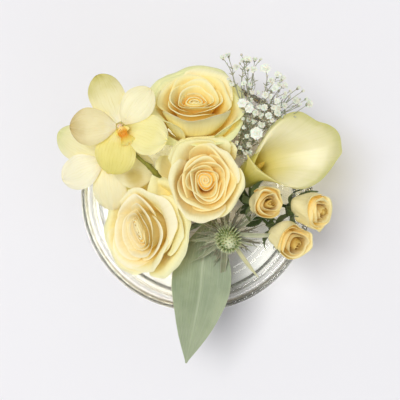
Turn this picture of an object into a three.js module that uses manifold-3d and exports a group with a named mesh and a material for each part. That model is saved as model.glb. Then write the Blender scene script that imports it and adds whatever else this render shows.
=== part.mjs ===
// Floral table centerpiece: a low clear glass bowl, two-thirds full of water,
// with three cream-yellow roses, a branch of three spray roses, two vanda
// orchid blossoms on one spike, a calla lily, a sea holly, three sprigs of
// baby's breath and one broad pointed leaf. Every cut stem stands in the water
// and leans on the rim and on its neighbours.
//
// Millimetres, +Z up, origin at the centre of the bowl's foot, +Y towards the
// back of the table (up, seen from above) and +X to the right.
import * as THREE from "three";
import { mergeVertices } from "three/addons/utils/BufferGeometryUtils.js";
import Module from "manifold-3d";

const wasm = await Module();
wasm.setup();
const V3 = THREE.Vector3;
const { sin, cos, PI, abs, min, max, pow, sqrt, hypot, atan2 } = Math;
const RAD = PI / 180;

// ------------------------------------------------------------------ sizes
const RIM_R = 91; // outside radius of the bowl at its rim
const BOWL_H = 92; // height of the rim above the table
const GLASS = 4.6; // wall thickness near the rim
const FLOOR_Z = 10; // thick glass floor
const WATER_Z = 56; // water level
const GAP = 0.3; // clearance kept between neighbouring pieces
const PETAL = 0.8; // petal thickness

// The plan is laid out on a square grid seen from straight above, EYE_Z over
// the table: at(u, v, z) is the point at height z that lies under grid point
// (u, v). One grid step is 0.78 mm at the rim.
const EYE = [2.3, -3.9, 1000];
const FOCAL = 1160;
const at = (u, v, z) =>
  new V3(
    EYE[0] + ((u - 200) * (EYE[2] - z)) / FOCAL,
    EYE[1] - ((v - 200) * (EYE[2] - z)) / FOCAL,
    z,
  );

// ------------------------------------------------------------------ colours
const mat = (color, roughness = 0.6, extra = {}) =>
  new THREE.MeshStandardMaterial({ color, roughness, metalness: 0, ...extra });
const M = {
  glass: mat(0xdde4e0, 0.05, { transparent: true, opacity: 0.35 }),
  water: mat(0xe6eeea, 0.02, { transparent: true, opacity: 0.3 }),
  rose: mat(0xf6e3a8, 0.55),
  roseHeart: mat(0xf2cd7e, 0.55),
  spray: mat(0xeed389, 0.55),
  orchid: mat(0xf3eaa6, 0.5),
  lip: mat(0xe0a92c, 0.5),
  calla: mat(0xe8e19b, 0.45),
  spadix: mat(0xd69a2c, 0.7),
  green: mat(0x6b7b33, 0.6),
  darkGreen: mat(0x3c5126, 0.6),
  sage: mat(0x98a583, 0.6),
  holly: mat(0x9aa286, 0.7),
  breath: mat(0xeff0e2, 0.7),
  stem: mat(0x7f8c49, 0.6),
};

// ------------------------------------------------------------------ helpers
// A closed solid made from a curved sheet: fn(u, v) is its middle surface,
// u from -1 to 1 across and v from 0 to 1 along; th is its thickness.
function sheet(fn, nu, nv, th) {
  const e = 1e-3;
  const pos = [];
  const mid = [];
  const nor = [];
  for (let j = 0; j <= nv; j++)
    for (let i = 0; i <= nu; i++) {
      const u = -1 + (2 * i) / nu;
      const v = j / nv;
      const p = fn(u, v);
      const du = fn(min(1, u + e), v).sub(fn(max(-1, u - e), v));
      const dv = fn(u, min(1, v + e)).sub(fn(u, max(0, v - e)));
      mid.push(p);
      nor.push(du.cross(dv).normalize());
    }
  for (const s of [0.5, -0.5])
    mid.forEach((p, k) => pos.push(p.clone().addScaledVector(nor[k], s * th)));
  const n = (nu + 1) * (nv + 1);
  const id = (i, j) => j * (nu + 1) + i;
  const idx = [];
  for (let j = 0; j < nv; j++)
    for (let i = 0; i < nu; i++) {
      const a = id(i, j), b = id(i + 1, j), c = id(i + 1, j + 1), d = id(i, j + 1);
      idx.push(a, b, c, a, c, d);
      idx.push(a + n, c + n, b + n, a + n, d + n, c + n);
    }
  const rim = [];
  for (let i = 0; i < nu; i++) rim.push([id(i, 0), id(i + 1, 0)]);
  for (let j = 0; j < nv; j++) rim.push([id(nu, j), id(nu, j + 1)]);
  for (let i = nu; i > 0; i--) rim.push([id(i, nv), id(i - 1, nv)]);
  for (let j = nv; j > 0; j--) rim.push([id(0, j), id(0, j - 1)]);
  for (const [a, b] of rim) idx.push(a, a + n, b + n, a, b + n, b);
  const g = new THREE.BufferGeometry();
  g.setAttribute(
    "position",
    new THREE.Float32BufferAttribute(pos.flatMap((p) => [p.x, p.y, p.z]), 3),
  );
  g.setIndex(idx);
  return g;
}

// A round stem of one radius along a smooth curve through the points.
function stemGeometry(points, radius, sides = 8, steps = 12) {
  const curve = new THREE.CatmullRomCurve3(points, false, "centripetal");
  const shape = new THREE.Shape();
  for (let i = 0; i < sides; i++) {
    const a = (2 * PI * i) / sides;
    if (i) shape.lineTo(radius * cos(a), radius * sin(a));
    else shape.moveTo(radius, 0);
  }
  shape.closePath();
  return new THREE.ExtrudeGeometry(shape, {
    steps,
    extrudePath: curve,
    bevelEnabled: false,
  });
}

function lathe(profile, segments) {
  return new THREE.LatheGeometry(
    profile.map(([r, z]) => new THREE.Vector2(r, z)),
    segments,
  ).rotateX(PI / 2);
}

// A rod that tapers from radius r0 at a to r1 at b.
function rod(a, b, r0, r1, sides = 5) {
  const d = b.clone().sub(a);
  const g = new THREE.CylinderGeometry(r1, r0, d.length(), sides);
  g.translate(0, d.length() / 2, 0);
  g.applyQuaternion(
    new THREE.Quaternion().setFromUnitVectors(new V3(0, 1, 0), d.normalize()),
  );
  return g.translate(a.x, a.y, a.z);
}

function toSolid(g) {
  const plain = new THREE.BufferGeometry();
  plain.setAttribute("position", g.getAttribute("position").clone());
  if (g.index) plain.setIndex(g.index.clone());
  const m = mergeVertices(plain, 1e-4);
  const src = m.index.array;
  const tri = [];
  for (let i = 0; i < src.length; i += 3)
    if (src[i] !== src[i + 1] && src[i + 1] !== src[i + 2] && src[i] !== src[i + 2])
      tri.push(src[i], src[i + 1], src[i + 2]);
  const made = new wasm.Manifold(
    new wasm.Mesh({
      numProp: 3,
      vertProperties: new Float32Array(m.getAttribute("position").array),
      triVerts: new Uint32Array(tri),
    }),
  );
  return made.volume() < 0 ? turned(made) : made;
}

function turned(solid) {
  const m = solid.getMesh();
  const t = new Uint32Array(m.triVerts);
  for (let i = 0; i < t.length; i += 3) [t[i + 1], t[i + 2]] = [t[i + 2], t[i + 1]];
  return new wasm.Manifold(
    new wasm.Mesh({ numProp: 3, vertProperties: m.vertProperties, triVerts: t }),
  );
}

function toGeometry(solid) {
  const m = solid.getMesh();
  const n = m.numProp;
  const v = new Float32Array(m.numVert * 3);
  for (let i = 0; i < m.numVert; i++)
    v.set(m.vertProperties.subarray(i * n, i * n + 3), i * 3);
  const g = new THREE.BufferGeometry();
  g.setAttribute("position", new THREE.BufferAttribute(v, 3));
  g.setIndex(new THREE.BufferAttribute(new Uint32Array(m.triVerts), 1));
  return g;
}

// The same solid grown by d all round, used to keep a gap to its neighbours.
function grown(solid, d) {
  const g = toGeometry(solid);
  g.computeVertexNormals();
  const p = g.getAttribute("position");
  const n = g.getAttribute("normal");
  for (let i = 0; i < p.count; i++)
    p.setXYZ(
      i,
      p.getX(i) + n.getX(i) * d,
      p.getY(i) + n.getY(i) * d,
      p.getZ(i) + n.getZ(i) * d,
    );
  return toSolid(g);
}

const union = (geometries) =>
  geometries.map(toSolid).reduce((a, b) => a.add(b));

const root = new THREE.Group();
const made = []; // { name, solid, grown, box } of every piece so far

const boxesMeet = (a, b) =>
  [0, 1, 2].every((i) => a.min[i] < b.max[i] && b.min[i] < a.max[i]);

// Adds one piece. Where it would run into a piece made before it, the
// neighbour's shape is cut from it with a small gap, and the largest piece left
// is kept.
function piece(group, name, solid, material, { growth = GAP * 1.5, coarse = 0.1 } = {}) {
  if (!solid.getMesh) solid = toSolid(solid);
  let box = solid.boundingBox();
  for (const other of made) {
    if (!boxesMeet(box, other.box)) continue;
    if (solid.intersect(other.grown).volume() < 1e-6) continue;
    solid = solid.subtract(other.grown);
  }
  const parts = solid.decompose().sort((a, b) => b.volume() - a.volume());
  solid = parts[0];
  if (coarse) solid = solid.asOriginal().simplify(coarse);
  box = solid.boundingBox();
  const fat = grown(solid, growth);
  made.push({ name, solid, grown: fat, box: fat.boundingBox() });
  group.updateWorldMatrix(true, false);
  const g = toGeometry(solid);
  g.applyMatrix4(group.matrixWorld.clone().invert());
  g.computeVertexNormals();
  const mesh = new THREE.Mesh(g, material);
  mesh.name = name;
  group.add(mesh);
  return solid;
}

// A group whose +Z is the way a flower faces and whose +Y is the back of the
// table as nearly as it can be.
function facing(origin, direction) {
  const z = direction.clone().normalize();
  const x = new V3(0, 1, 0).cross(z).normalize();
  const y = z.clone().cross(x);
  const g = new THREE.Group();
  g.position.copy(origin);
  g.quaternion.setFromRotationMatrix(new THREE.Matrix4().makeBasis(x, y, z));
  root.add(g);
  g.updateWorldMatrix(true, false);
  return g;
}
const placed = (geometry, group) => geometry.applyMatrix4(group.matrixWorld);

const bez = (a, b, c, d, t) => {
  const s = 1 - t;
  return s * s * s * a + 3 * s * s * t * b + 3 * s * t * t * c + t * t * t * d;
};

// ------------------------------------------------------------------ bowl
const bowl = new THREE.Group();
root.add(bowl);
const bowlOuter = [
  [0, 0], [75, 0], [80, 1.6], [83.6, 6], [85.8, 16], [87.6, 36], [89.4, 62],
  [RIM_R, 88.5], [RIM_R - 0.8, 91], [RIM_R - 2.2, BOWL_H],
];
const bowlInner = [
  [RIM_R - 3.4, 91.4], [RIM_R - GLASS, 89.4], [85.0, 62], [83.2, 36],
  [81.2, 21], [78.0, 14.4], [71.5, 10.8], [60, FLOOR_Z], [0, FLOOR_Z],
];
piece(bowl, "glass_bowl", lathe([...bowlOuter, ...bowlInner], 36), M.glass, {
  growth: 0.36,
  coarse: 0,
});

// ------------------------------------------------------------------ stems
// The cut stems stand on the bowl's floor. They lean the same way round, as in a
// spiralled bouquet: below WAIST_Z the whole plan turns by LEAN and shrinks to
// GATHER of its size at the floor, so no stem crosses another.
const WAIST_Z = 96;
const LEAN = 52 * RAD;
const GATHER = 0.66;
const spiral = (z) => {
  const t = max(0, min(1, (WAIST_Z - z) / (WAIST_Z - FLOOR_Z)));
  const k = t * t * (2.2 - 1.2 * t);
  return { turn: LEAN * k, scale: 1 - (1 - GATHER) * k };
};
// points of a stem from its point p down to the floor
function down(p, radius) {
  const s0 = spiral(p.z);
  return [min(66, p.z - 14), 40, FLOOR_Z + 0.5 + radius * 0.75].map((z) => {
    const s = spiral(z);
    const a = s.turn - s0.turn;
    const k = s.scale / s0.scale;
    return new V3((p.x * cos(a) - p.y * sin(a)) * k, (p.x * sin(a) + p.y * cos(a)) * k, z);
  });
}

// ------------------------------------------------------------------ roses
// One rose head. Its origin is the top of the receptacle, +Z its facing.
// petals: azimuths of the five outer petals, innermost first.
function rosePetal(k, azimuth, s) {
  // radius and height of the petal's middle line, from its claw to its lip
  const R = [5.2 + 0.8 * k, 16 + 2.4 * k, 21.5 + 1.8 * k, 26.0 + 1.7 * k];
  const Z = [1.5 - 1.1 * k, 1.5 - 0.9 * k, 24 - 1.6 * k, 31.5 - 2.2 * k];
  const half = (50 - 1.0 * k) * RAD;
  return (u, v) => {
    const w = v < 0.62 ? 0.26 + 0.74 * sin((PI / 2) * (v / 0.62)) : 1;
    const t = v * (1 - 0.2 * pow(abs(u), 3));
    const a = azimuth + u * half * w;
    const r = bez(R[0], R[1], R[2], R[3], t) + 0.8 * pow(abs(u), 3) * t;
    const z = bez(Z[0], Z[1], Z[2], Z[3], t);
    return new V3(r * cos(a) * s, r * sin(a) * s, z * s);
  };
}
const ROSE_HEART = [
  [0, 0.6], [3.6, 0.6], [10.5, 4.8], [16.2, 12.8], [18.8, 20.5], [19.4, 27.5],
  [18.0, 33.2], [17.0, 33.4], [16.2, 31.4], [14.2, 35.8], [13.2, 35.8], [12.4, 33.4],
  [10.2, 37.5], [9.2, 37.5], [8.4, 34.8], [5.8, 38.3], [4.6, 35.8],
  [2.4, 38.2], [0, 38.4],
];

function rose(name, origin, direction, s, turn) {
  const g = facing(origin, direction);
  piece(
    g,
    name + "_inner_petals",
    placed(lathe(ROSE_HEART.map(([r, z]) => [r * s, z * s]), 14), g),
    M.roseHeart,
  );
  for (let k = 0; k < 5; k++)
    piece(
      g,
      name + "_outer_petal_" + (k + 1),
      placed(sheet(rosePetal(k, (turn + 144 * k) * RAD, s), 6, 4, PETAL), g),
      M.rose,
    );
  // receptacle and five reflexed sepals in one piece
  const cup = lathe(
    [[0, 0], [3.2, 0], [4.5, -2.2], [5.2, -7], [4.4, -10.6], [2.6, -13], [0, -13]].map(
      ([r, z]) => [r * s, z * s],
    ),
    10,
  );
  const sepals = [0, 1, 2, 3, 4].map((i) =>
    sheet(
      (u, v) => {
        const a = (turn + 20 + 72 * i) * RAD;
        const w = (3.1 * sin(PI * (0.25 + 0.73 * v)) + 0.2) * u;
        const r = bez(4.2, 10, 14.5, 17.5, v);
        const z = bez(-6.2, -4.6, -8.6, -17.5, v) - 0.05 * w * w;
        return new V3(
          (r * cos(a) - w * sin(a)) * s,
          (r * sin(a) + w * cos(a)) * s,
          z * s,
        );
      },
      2, 3, 0.9,
    ),
  );
  piece(g, name + "_calyx", union([cup, ...sepals].map((x) => placed(x, g))), M.green);
  const top = new V3(0, 0, -13 * s - 0.4).applyMatrix4(g.matrixWorld);
  const neck = new V3(0, 0, -13 * s - 7).applyMatrix4(g.matrixWorld);
  piece(g, name + "_stem", stemGeometry([top, neck, ...down(neck, 2.3)], 2.3, 8, 10), M.stem);
  return g;
}

rose("rose_centre", at(204.5, 182.5, 112), new V3(0.02, 0.02, 1), 1.0, -100);
rose("rose_back", at(196, 129, 97), new V3(0.0, 0.52, 1), 1.12, -88);
rose("rose_left", at(160, 229, 95), new V3(-0.4, -0.02, 1), 1.08, -60);

// ------------------------------------------------------------------ orchids
// A tepal points along azimuth a from the flower's centre; it is len long and
// wide across, cups towards the viewer by cup and lifts by rise at its tip.
const tepal = (a, len, wide, rise, cup, lift = 0) => (u, v) => {
  const r = 3.4 + (len - 1.2) * v;
  const w = min(
    (wide / 2) * max(0.1, pow(sin(PI * pow(min(0.985, 0.03 + 0.955 * v), 0.8)), 0.62)),
    1.5 + 1.3 * (r - 3.4),
  );
  const x = r;
  const y = u * w;
  const z = lift * min(1, 0.25 + 6 * v) + rise * v * v + 2.2 * sin(PI * v) - cup * u * u * (w / 12);
  return new V3(x * cos(a) - y * sin(a), x * sin(a) + y * cos(a), z);
};

function orchid(name, origin, direction, s, tepals, lipAt) {
  const g = facing(origin, direction);
  const size = (f) => (u, v) => f(u, v).multiplyScalar(s);
  // column, with the anther cap, standing up from the centre
  const column = lathe([[0, -7], [1.6, -7], [1.9, -2], [2.0, 2.2], [1.5, 4.2], [0, 4.8]], 10).scale(s, s, s);
  piece(g, name + "_column", placed(column, g), M.lip);
  const lip = (u, v) => {
    const a = lipAt * RAD;
    const w = (2.6 + 3.0 * pow(sin(PI * min(0.97, 0.12 + 0.8 * v)), 0.8)) * (v > 0.85 ? 0.8 : 1);
    const r = 2.9 + 13 * v;
    const y = u * w;
    const z = 5.0 + 1.8 * sin(PI * v) - 1.4 * v + 1.6 * u * u * (1 - v);
    return new V3(r * cos(a) - y * sin(a), r * sin(a) + y * cos(a), z);
  };
  piece(g, name + "_lip", placed(sheet(size(lip), 4, 6, 1.0), g), M.lip);
  tepals.forEach(([label, a, len, wide, rise, cup, lift]) =>
    piece(
      g,
      name + "_" + label,
      placed(sheet(size(tepal(a * RAD, len, wide, rise, cup, lift)), 4, 5, PETAL), g),
      M.orchid,
    ),
  );
  return g;
}

orchid("orchid_front", at(120.5, 126.5, 150), new V3(-0.1, 0.02, 1), 1, [
  ["petal_left", 184, 37, 27, 0.5, 1.2, 1.6],
  ["petal_right", 50, 36, 24, -1.0, 1.0, 1.6],
  ["sepal_dorsal", 115, 39, 26, -3.0, 2.4, 0],
  ["sepal_lower_right", -17, 32, 30, -1.0, 2.0, 0],
  ["sepal_lower_left", -105, 36, 29, -2.0, 2.0, -1.7],
], -62);
orchid("orchid_rear", at(106, 160, 122), new V3(-0.16, 0.0, 1), 1, [
  ["petal_left", 198, 34, 25, -4.5, 1.2, 1.6],
  ["petal_right", 62, 30, 24, -3, 1.0, 1.6],
  ["sepal_dorsal", 137, 38, 25, -6.5, 2.4, 0],
  ["sepal_lower_right", -14, 32, 26, -10, 2.0, 0],
  ["sepal_lower_left", -88, 34, 28, -11, 2.0, -1.7],
], -48);

// One spike carries both blossoms, each on a short pedicel.
{
  const g = new THREE.Group();
  root.add(g);
  const tip = at(123, 137, 139);
  const fork = at(161, 179, 115);
  const low = at(176, 196, 90);
  const spike = stemGeometry([at(146, 163, 131), fork, low, ...down(low, 2.1)], 2.1, 8, 14);
  const pedicel1 = stemGeometry([at(149, 166, 128.5), at(137, 156, 134), tip, at(120.8, 128, 144)], 1.3, 6, 7);
  const pedicel2 = stemGeometry([at(160.5, 178.5, 115.5), at(140, 177, 109), at(118, 167, 110), at(107.2, 161.2, 116.5)], 1.2, 6, 7);
  piece(g, "orchid_spike", union([spike, pedicel1, pedicel2]), M.green);
}

// ------------------------------------------------------------------ calla
{
  const g = new THREE.Group();
  root.add(g);
  // margin of the spathe, round from the inner edge of the wrap, over the back,
  // the tip and the near side, to the outer edge that laps over the tube
  const margin = new THREE.CatmullRomCurve3(
    [
      [251, 166, 121], [256, 151, 126], [262, 140, 130], [270, 128, 133],
      [279, 119, 134], [289, 113, 134], [300, 111, 133], [309, 115, 131],
      [318, 121, 129], [328, 125, 127], [336, 131, 124], [341, 139, 121],
      [343, 146, 118], [340, 155, 120], [334, 166, 123], [326, 176, 126],
      [316, 183, 128], [304, 188, 129], [292, 188, 130], [281, 184.5, 131],
      [271, 178, 131], [262, 171.5, 130], [254, 164, 128], [247.5, 154, 125],
    ].map((p) => at(...p)),
    false,
    "centripetal",
  );
  const base = at(237, 184, 92);
  const throat = at(254, 170.5, 112);
  const axis = throat.clone().sub(base).normalize();
  const side = new V3(-axis.y, axis.x, 0).normalize();
  const up = axis.clone().cross(side).normalize();
  if (up.z < 0) up.negate();
  const ring = (c, r, s) => {
    const a = (-22 + 404 * s) * RAD;
    const k = r * (0.93 + 0.16 * s);
    return c.clone().addScaledVector(up, k * cos(a)).addScaledVector(side, k * sin(a));
  };
  const spathe = (u, v) => {
    const s = (u + 1) / 2;
    if (v < 0.3) {
      const t = v / 0.3;
      const c = base.clone().lerp(throat, t);
      return ring(c, 5.4 + 4.4 * t * t * (3 - 2 * t) , s);
    }
    const t = (v - 0.3) / 0.7;
    const q = ring(throat, 9.8, s);
    const m = margin.getPoint(s);
    const reach = m.distanceTo(q);
    const t0 = axis.clone().multiplyScalar(reach * 1.1);
    const out = m.clone().sub(throat);
    out.z = 0;
    out.normalize();
    const t1 = out.multiplyScalar(reach * 0.8).add(new V3(0, 0, reach * 0.1));
    const h = [2 * t ** 3 - 3 * t * t + 1, t ** 3 - 2 * t * t + t, -2 * t ** 3 + 3 * t * t, t ** 3 - t * t];
    return q.multiplyScalar(h[0]).addScaledVector(t0, h[1]).addScaledVector(m, h[2]).addScaledVector(t1, h[3]);
  };
  piece(g, "calla_spathe", sheet(spathe, 24, 7, 0.9), M.calla);
  const inner = base.clone().addScaledVector(axis, 1.5);
  piece(
    g,
    "calla_spadix",
    rod(inner, throat.clone().addScaledVector(axis, 15), 3.0, 1.7, 10),
    M.spadix,
  );
  piece(
    g,
    "calla_stem",
    stemGeometry(
      [
        base.clone().addScaledVector(axis, -0.6),
        base.clone().addScaledVector(axis, -9),
        ...down(base.clone().addScaledVector(axis, -9), 4.6),
      ],
      4.6, 10, 10,
    ),
    M.stem,
  );
}

// ------------------------------------------------------------------ spray roses
const SPRAY = [
  [0, 0.4], [2.6, 0.4], [7.6, 3.2], [10.6, 8.2], [11.6, 13.4], [11.2, 17.6],
  [9.7, 20.2], [8.9, 19.9], [8.2, 18.2], [6.8, 21.2], [6.0, 21.2], [5.2, 18.8],
  [3.6, 21.6], [2.8, 21.5], [1.8, 19.4], [0, 20.6],
];
function sprayRose(n, origin, direction, s, turn) {
  const g = facing(origin, direction);
  piece(g, `spray_rose_${n}_petals`, placed(lathe(SPRAY.map(([r, z]) => [r * s, z * s]), 12), g), M.spray);
  const cup = lathe(
    [[0, 0], [1.8, 0], [2.9, -1.8], [2.9, -4.2], [1.6, -6], [0, -6]].map(([r, z]) => [r * s, z * s]),
    10,
  );
  const sepals = [0, 1, 2, 3, 4].map((i) =>
    sheet(
      (u, v) => {
        const a = (turn + 72 * i) * RAD;
        const w = (2.3 * sin(PI * (0.3 + 0.68 * v)) + 0.2) * u;
        const r = bez(2.4, 10.6, 12.6, 13.6, v);
        const z = bez(-1.2, -2.4, 6.4, 11, v);
        return new V3((r * cos(a) - w * sin(a)) * s, (r * sin(a) + w * cos(a)) * s, z * s);
      },
      2, 3, 0.7,
    ),
  );
  piece(g, `spray_rose_${n}_calyx`, union([cup, ...sepals].map((x) => placed(x, g))), M.darkGreen);
  return new V3(0, 0, -6 * s - 0.4).applyMatrix4(g.matrixWorld);
}
{
  const a = sprayRose(1, at(255.5, 202.5, 112), new V3(0.42, -0.03, 1), 1.12, 20);
  const b = sprayRose(2, at(294.5, 207.5, 101), new V3(0.98, -0.14, 0.95), 1.19, 50);
  const c = sprayRose(3, at(276, 230, 103), new V3(0.6, -0.48, 1), 1.2, 0);
  const g = new THREE.Group();
  root.add(g);
  const node1 = at(258, 206, 92);
  const node2 = at(250, 206, 82);
  const main = stemGeometry([a, node1, node2, ...down(node2, 1.7)], 1.7, 8, 12);
  const side2 = stemGeometry([b, b.clone().add(new V3(-6, 1, -4)), at(275, 206, 93), node2.clone().add(new V3(0.6, 0, 0.6))], 1.2, 6, 8);
  const side3 = stemGeometry([c, c.clone().add(new V3(-3, 2.5, -5)), at(262, 218, 88), node2.clone().add(new V3(0.2, -0.4, -1))], 1.2, 6, 8);
  piece(g, "spray_rose_branch", union([main, side2, side3]), M.darkGreen);
}

// ------------------------------------------------------------------ sea holly
{
  const g = facing(at(227.4, 235.6, 112), new V3(0.1, -0.42, 1));
  const cone = lathe(
    [[0, -1], [4.6, -1], [7.6, 1.6], [8.8, 5.6], [8.2, 10.2], [6.2, 14.2], [3.4, 17.2], [0, 18.2]],
    14,
  );
  piece(g, "sea_holly_cone", placed(cone, g), M.holly);
  // spiny bracts: azimuth, length, width, rise of the tip
  const bracts = [
    [188, 27, 5, -2], [222, 35, 5.5, 2], [243, 26, 5, 0], [262, 37, 5.5, 3],
    [297, 33, 5, 1], [325, 25, 4.5, -1], [8, 33, 5.5, 9],
    [36, 28, 5, 2], [62, 25, 5, 0], [92, 24, 5, -2], [128, 24, 5, -3], [158, 26, 5, -4],
  ];
  const blades = bracts.map(([a, len, wide, rise]) =>
    sheet(
      (u, v) => {
        const w = (wide / 2) * (0.55 + 0.6 * sin(PI * min(1, v * 1.25)) - 0.42 * v) * u;
        const r = 2.0 + (len - 2) * v;
        const z = -3.4 + rise * v + 2.0 * sin(PI * v) + 0.10 * w * w;
        const c = a * RAD;
        return new V3(r * cos(c) - w * sin(c), r * sin(c) + w * cos(c), z);
      },
      2, 3, 0.9,
    ),
  );
  const collar = lathe([[0, -5.4], [3.0, -5.4], [4.6, -3.4], [4.4, -1.6], [0, -1.6]], 14);
  piece(g, "sea_holly_bracts", union([collar, ...blades].map((x) => placed(x, g))), M.holly);
  piece(
    g,
    "sea_holly_stem",
    stemGeometry(
      [new V3(0, 0, -5.8).applyMatrix4(g.matrixWorld), new V3(0, 0, -16).applyMatrix4(g.matrixWorld),
        ...down(new V3(0, 0, -16).applyMatrix4(g.matrixWorld), 1.7)],
      1.7, 8, 10,
    ),
    M.stem,
  );
}

// ------------------------------------------------------------------ baby's breath
// Each sprig: where it leaves the bouquet, its main fork, and its heads as plan
// position, height and radius.
const SPRIGS = [
  {
    from: at(236, 148, 98), fork: at(245, 122, 121),
    heads: [
      [223, 58, 140, 2.0], [241.5, 55, 142, 1.2], [247.7, 60, 143, 2.0], [236.4, 67, 138, 2.2],
      [260.4, 59.5, 140, 1.2], [253.3, 70, 141, 2.0], [244, 84, 136, 2.0], [229, 79, 132, 1.4],
      [247, 104, 134, 2.4], [243, 118, 128, 2.0], [238, 134, 122, 2.0], [252.5, 92, 139, 1.6],
    ],
  },
  {
    from: at(241, 147, 97), fork: at(252, 121, 114),
    heads: [
      [265.5, 69, 143, 2.4], [270.6, 81, 140, 2.0], [277.8, 75.7, 142, 2.0], [274.7, 88, 141, 2.2],
      [283.9, 86, 139, 2.2], [290, 91, 136, 1.2], [265.5, 95, 140, 2.0], [276.7, 101, 137, 2.0],
      [264.5, 107.3, 136, 2.0], [273.7, 108, 135, 2.0], [256, 112, 134, 2.2], [256.3, 133, 128, 2.8],
    ],
  },
  {
    from: at(247, 151, 95), fork: at(259, 128, 112),
    heads: [
      [302.8, 91, 139, 1.3], [289.5, 97, 141, 1.3], [295.1, 101.2, 140, 2.2], [308.4, 104, 139, 2.2],
      [284, 106, 137, 2.0], [268.5, 116, 136, 2.0], [278, 113, 137, 2.0], [262, 124, 131, 2.0],
      [250, 144, 118, 2.0], [247, 136, 122, 2.0], [257, 137, 121, 1.6],
    ],
  },
];
SPRIGS.forEach((sp, n) => {
  const g = new THREE.Group();
  root.add(g);
  const parts = [stemGeometry([sp.fork, sp.from, ...down(sp.from, 0.95)], 0.95, 5, 9)];
  // the sprig forks again and again towards its own heads
  const heads = sp.heads.map((h) => ({ p: at(h[0], h[1], h[2]), r: h[3] }));
  const grow = (from, radius, list) => {
    if (list.length === 1) {
      const h = list[0];
      parts.push(rod(from, h.p, radius, 0.42, 3));
      const Head = h.r < 2.1 ? THREE.OctahedronGeometry : THREE.IcosahedronGeometry;
      parts.push(new Head(h.r, 0).translate(h.p.x, h.p.y, h.p.z));
      return;
    }
    const mean = list.reduce((a, h) => a.add(h.p), new V3()).multiplyScalar(1 / list.length);
    const fork = from.clone().lerp(mean, 0.46);
    fork.z -= 2;
    parts.push(rod(from, fork, radius, radius * 0.82, 3));
    parts.push(new THREE.OctahedronGeometry(radius * 1.3, 0).translate(fork.x, fork.y, fork.z));
    split(fork, radius * 0.82, list);
  };
  const split = (fork, radius, list) => {
    const angle = (h) => atan2(h.p.y - fork.y, h.p.x - fork.x);
    const sorted = [...list].sort((a, b) => angle(a) - angle(b));
    const half = Math.ceil(sorted.length / 2);
    grow(fork, radius, sorted.slice(0, half));
    grow(fork, radius, sorted.slice(half));
  };
  parts.push(new THREE.OctahedronGeometry(1.4, 0).translate(sp.fork.x, sp.fork.y, sp.fork.z));
  split(sp.fork, 0.85, heads);
  piece(g, `babys_breath_${n + 1}`, union(parts), M.breath);
});

// ------------------------------------------------------------------ broad leaf
{
  const g = new THREE.Group();
  root.add(g);
  const line = new THREE.CatmullRomCurve3(
    [
      [214, 214, 95], [208, 238, 98], [203, 265, 100.5], [200.5, 290, 101],
      [197, 312, 100], [191.5, 338, 96], [186, 363, 89],
    ].map((p) => at(...p)),
  );
  const wide = [4, 23, 46, 44.5, 36, 20.5, 1.6];
  const leaf = (u, v) => {
    const p = line.getPoint(v);
    const k = min(5.999, v * 6);
    const i = Math.floor(k);
    const f = k - i;
    const w = 0.5 * (wide[i] * (1 - f) + wide[i + 1] * f);
    const t = line.getTangent(v);
    const across = new V3(t.y, -t.x, 0).normalize();
    const fold = -0.1 * w * (1 - abs(u)) * 1.6 + 0.02 * w * u * u;
    return p.addScaledVector(across, u * w).add(new V3(0, 0, fold));
  };
  piece(g, "broad_leaf", sheet(leaf, 4, 12, 0.8), M.sage);
  piece(
    g,
    "broad_leaf_stalk",
    stemGeometry([at(214.6, 212, 93.6), at(216, 205, 86), ...down(at(216, 205, 86), 1.5)], 1.5, 6, 8),
    M.stem,
  );
}

// ------------------------------------------------------------------ water
const water = lathe(
  [
    [0, FLOOR_Z + 0.4], [60, FLOOR_Z + 0.4], [71.4, 11.3], [77.6, 14.8], [80.8, 21.2], [82.8, 36],
    [84.15, WATER_Z], [0, WATER_Z],
  ],
  36,
);
piece(bowl, "water", water, M.water, { coarse: 0.04 });

export default root;
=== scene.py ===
import math

import bpy
import numpy as np
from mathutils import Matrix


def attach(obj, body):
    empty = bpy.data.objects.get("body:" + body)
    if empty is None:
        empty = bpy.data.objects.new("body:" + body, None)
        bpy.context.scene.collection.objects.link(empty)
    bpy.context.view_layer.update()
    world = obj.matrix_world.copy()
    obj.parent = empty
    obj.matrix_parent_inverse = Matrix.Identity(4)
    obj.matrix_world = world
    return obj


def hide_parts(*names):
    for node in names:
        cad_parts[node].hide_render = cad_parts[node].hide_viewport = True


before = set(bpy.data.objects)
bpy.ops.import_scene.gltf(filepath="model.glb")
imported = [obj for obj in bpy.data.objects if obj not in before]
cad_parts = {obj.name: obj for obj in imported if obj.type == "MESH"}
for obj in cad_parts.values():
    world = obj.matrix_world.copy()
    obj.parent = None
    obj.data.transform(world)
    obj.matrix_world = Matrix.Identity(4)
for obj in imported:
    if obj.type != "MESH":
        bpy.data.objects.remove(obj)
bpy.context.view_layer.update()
MM = 0.001
TAU = 2 * math.pi

# ------------------------------------------------------------------ layout
EYE = np.array([2.3, -3.9, 1000.0])
FOCAL = 1160.0
FLOOR_Z = 10.0
WATER_Z = 56.0


def at(u, v, z):
    """The point at height z under grid point (u, v) of the plan, seen from EYE."""
    return np.array(
        [
            EYE[0] + (u - 200) * (EYE[2] - z) / FOCAL,
            EYE[1] - (v - 200) * (EYE[2] - z) / FOCAL,
            z,
        ]
    )


def unit(a):
    a = np.asarray(a, float)
    return a / (np.linalg.norm(a, axis=-1, keepdims=True) + 1e-12)


class Place:
    """A flower's own axes: +Z the way it faces, +Y the back of the table."""

    def __init__(self, origin, direction, size=1.0):
        z = unit(direction)
        x = unit(np.cross([0, 1, 0], z))
        y = np.cross(z, x)
        self.o = np.asarray(origin, float)
        self.m = np.array([x, y, z]) * size

    def __call__(self, p):
        return np.asarray(p) @ self.m + self.o


WAIST_Z, LEAN, GATHER = 96.0, math.radians(52), 0.66


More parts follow.
